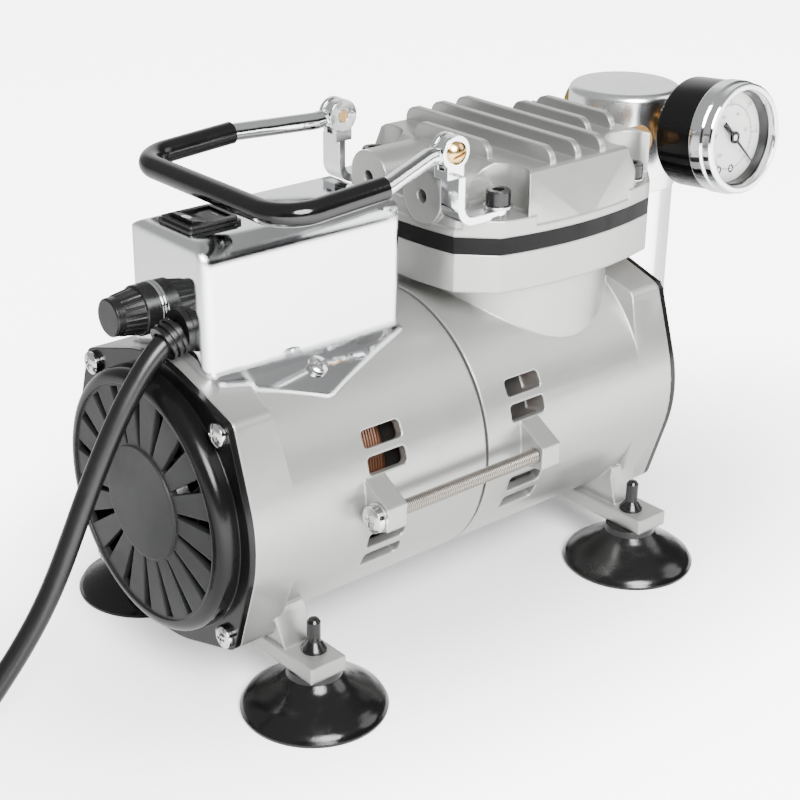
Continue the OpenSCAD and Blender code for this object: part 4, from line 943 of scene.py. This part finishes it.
def spoke_mark(radius, length, width, angle):
    """Mark of the dial that points at its middle"""
    return bar_mark(radius * math.cos(angle), radius * math.sin(angle), length, width, angle,
                    INK_THICK)


def dial_number(value, radius, angle, size):
    """Number of the dial"""
    return text_mark(str(value), radius * math.cos(angle), radius * math.sin(angle), size,
                     INK_THICK)


class PUMP_OT_print(bpy.types.Operator):
    """Prints the scales of the dial and the marks of the rocker"""
    bl_idname = "pump.print_marks"
    bl_label = "Dial and switch marks"

    def execute(self, context):
        s = context.scene.pump_dial
        turn = Matrix.Rotation(math.pi / 2 - GAUGE_TILT, 3, "X")
        root = at(TRAP_X, TRAP_Y, GAUGE_Z - GAUGE_REACH * math.tan(GAUGE_TILT))
        place = root + turn @ Vector((0, 0, (DIAL_FACE + 0.01) * MM))
        outer, inner = self.outer_scale(s), self.inner_scale(s)
        holes = [ring_mark(x, y, 0.0012, 0.0006, INK_THICK) for x, y in RIVETS]
        ink, pale_ink = (
            Finish(name, colour, 0.6, tone=0.1, patch=0.004, edge=0.00002,
                   Specular_IOR_Level=0.05).done()
            for name, colour in (("dial ink", (0.008, 0.008, 0.008)),
                                 ("pale dial ink", (0.08, 0.10, 0.09))))
        for parts, name, material in ((outer, "dial_scale", ink),
                                      (inner, "dial_inner_scale", pale_ink),
                                      (holes, "dial_rivets", ink)):
            piece = lay(join_pieces(parts, name), turn, place)
            paint(piece, material)
            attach(piece, "pump")
        self.rocker()
        return {"FINISHED"}

    def outer_scale(self, s):
        """Ring, divisions and numbers of the outer scale"""
        marks = [ring_mark(0, 0, s.ring_radius, 0.00022, INK_THICK, 128)]
        for i in range(s.steps + 1):
            angle = s.start + s.sweep * i / s.steps
            numbered = i % NUMBERED == 0
            length, width = (0.0018, 0.00030) if numbered else (0.0010, 0.00016)
            marks.append(spoke_mark(s.ring_radius + length / 2, length, width, angle))
            if numbered:
                marks.append(dial_number(i, NUMBER_RADIUS, angle, s.number_size))
        return marks

    def inner_scale(self, s):
        """Ten divisions inside the ring, with every other one numbered"""
        marks = []
        for i in range(11):
            angle = s.start + s.sweep * i / 10
            marks.append(spoke_mark(s.ring_radius - 0.0007, 0.0012, 0.00020, angle))
            if i % 2 == 0:
                marks.append(dial_number(i * 10, INNER_NUMBER_RADIUS, angle, 0.85 * s.number_size))
        return marks

    def rocker(self):
        """Ring and line on the two ends of the rocker"""
        white = Finish("rocker mark", (0.75, 0.75, 0.74), 0.45, tone=0.05, patch=0.003,
                       edge=0.00005).done()
        pin = at(SWITCH_X, 0, BOX_TOP - 1)
        rest = Matrix.Rotation(ROCKER_TURN, 3, "Y")
        ring = ring_mark(0, 0, 0.0013, 0.0005, ROCKER_MARK_THICK)
        line = bar_mark(0, 0, 0.0005, 0.0034, 0, ROCKER_MARK_THICK)
        rise = ROCKER_MARK_Z + ROCKER_MARK_X * ROCKER_FALL / ROCKER_RUN + 0.02
        for side, mark, name in ((-1, ring, "rocker_off_mark"), (1, line, "rocker_on_mark")):
            slope = Matrix.Rotation(-side * math.atan2(ROCKER_FALL, ROCKER_RUN), 3, "Y")
            local = Vector((side * ROCKER_MARK_X, 0, rise)) * MM
            piece = name_piece(lay(mark, rest @ slope, pin + rest @ local), name)
            paint(piece, white)
            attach(piece, "rocker")


# Panel
class PUMP_PT_panel(bpy.types.Panel):
    bl_label = "Vacuum pump"
    bl_idname = "PUMP_PT_panel"
    bl_space_type = "VIEW_3D"
    bl_region_type = "UI"
    bl_category = "Pump"

    def draw(self, context):
        for operator in OPERATORS:
            self.layout.operator(operator.bl_idname)


OPERATORS = (
    PUMP_OT_stage, PUMP_OT_lead, PUMP_OT_castings, PUMP_OT_covers, PUMP_OT_chrome,
    PUMP_OT_hardware, PUMP_OT_mouldings, PUMP_OT_motor, PUMP_OT_glass, PUMP_OT_print)
SETTINGS = {
    "pump_stage": StageSettings, "pump_lead": LeadSettings, "pump_finish": FinishSettings,
    "pump_dial": DialSettings}


def register():
    for group in SETTINGS.values():
        bpy.utils.register_class(group)
    for key, group in SETTINGS.items():
        setattr(bpy.types.Scene, key, PointerProperty(type=group))
    for item in (*OPERATORS, PUMP_PT_panel):
        bpy.utils.register_class(item)


def unregister():
    for item in (PUMP_PT_panel, *reversed(OPERATORS)):
        bpy.utils.unregister_class(item)
    for key, group in SETTINGS.items():
        delattr(bpy.types.Scene, key)
        bpy.utils.unregister_class(group)


def main():
    register()
    for operator in OPERATORS:
        family, verb = operator.bl_idname.split(".")
        getattr(getattr(bpy.ops, family), verb)()
    clear_selection()
    bpy.context.view_layer.update()


if __name__ == "__main__":
    main()
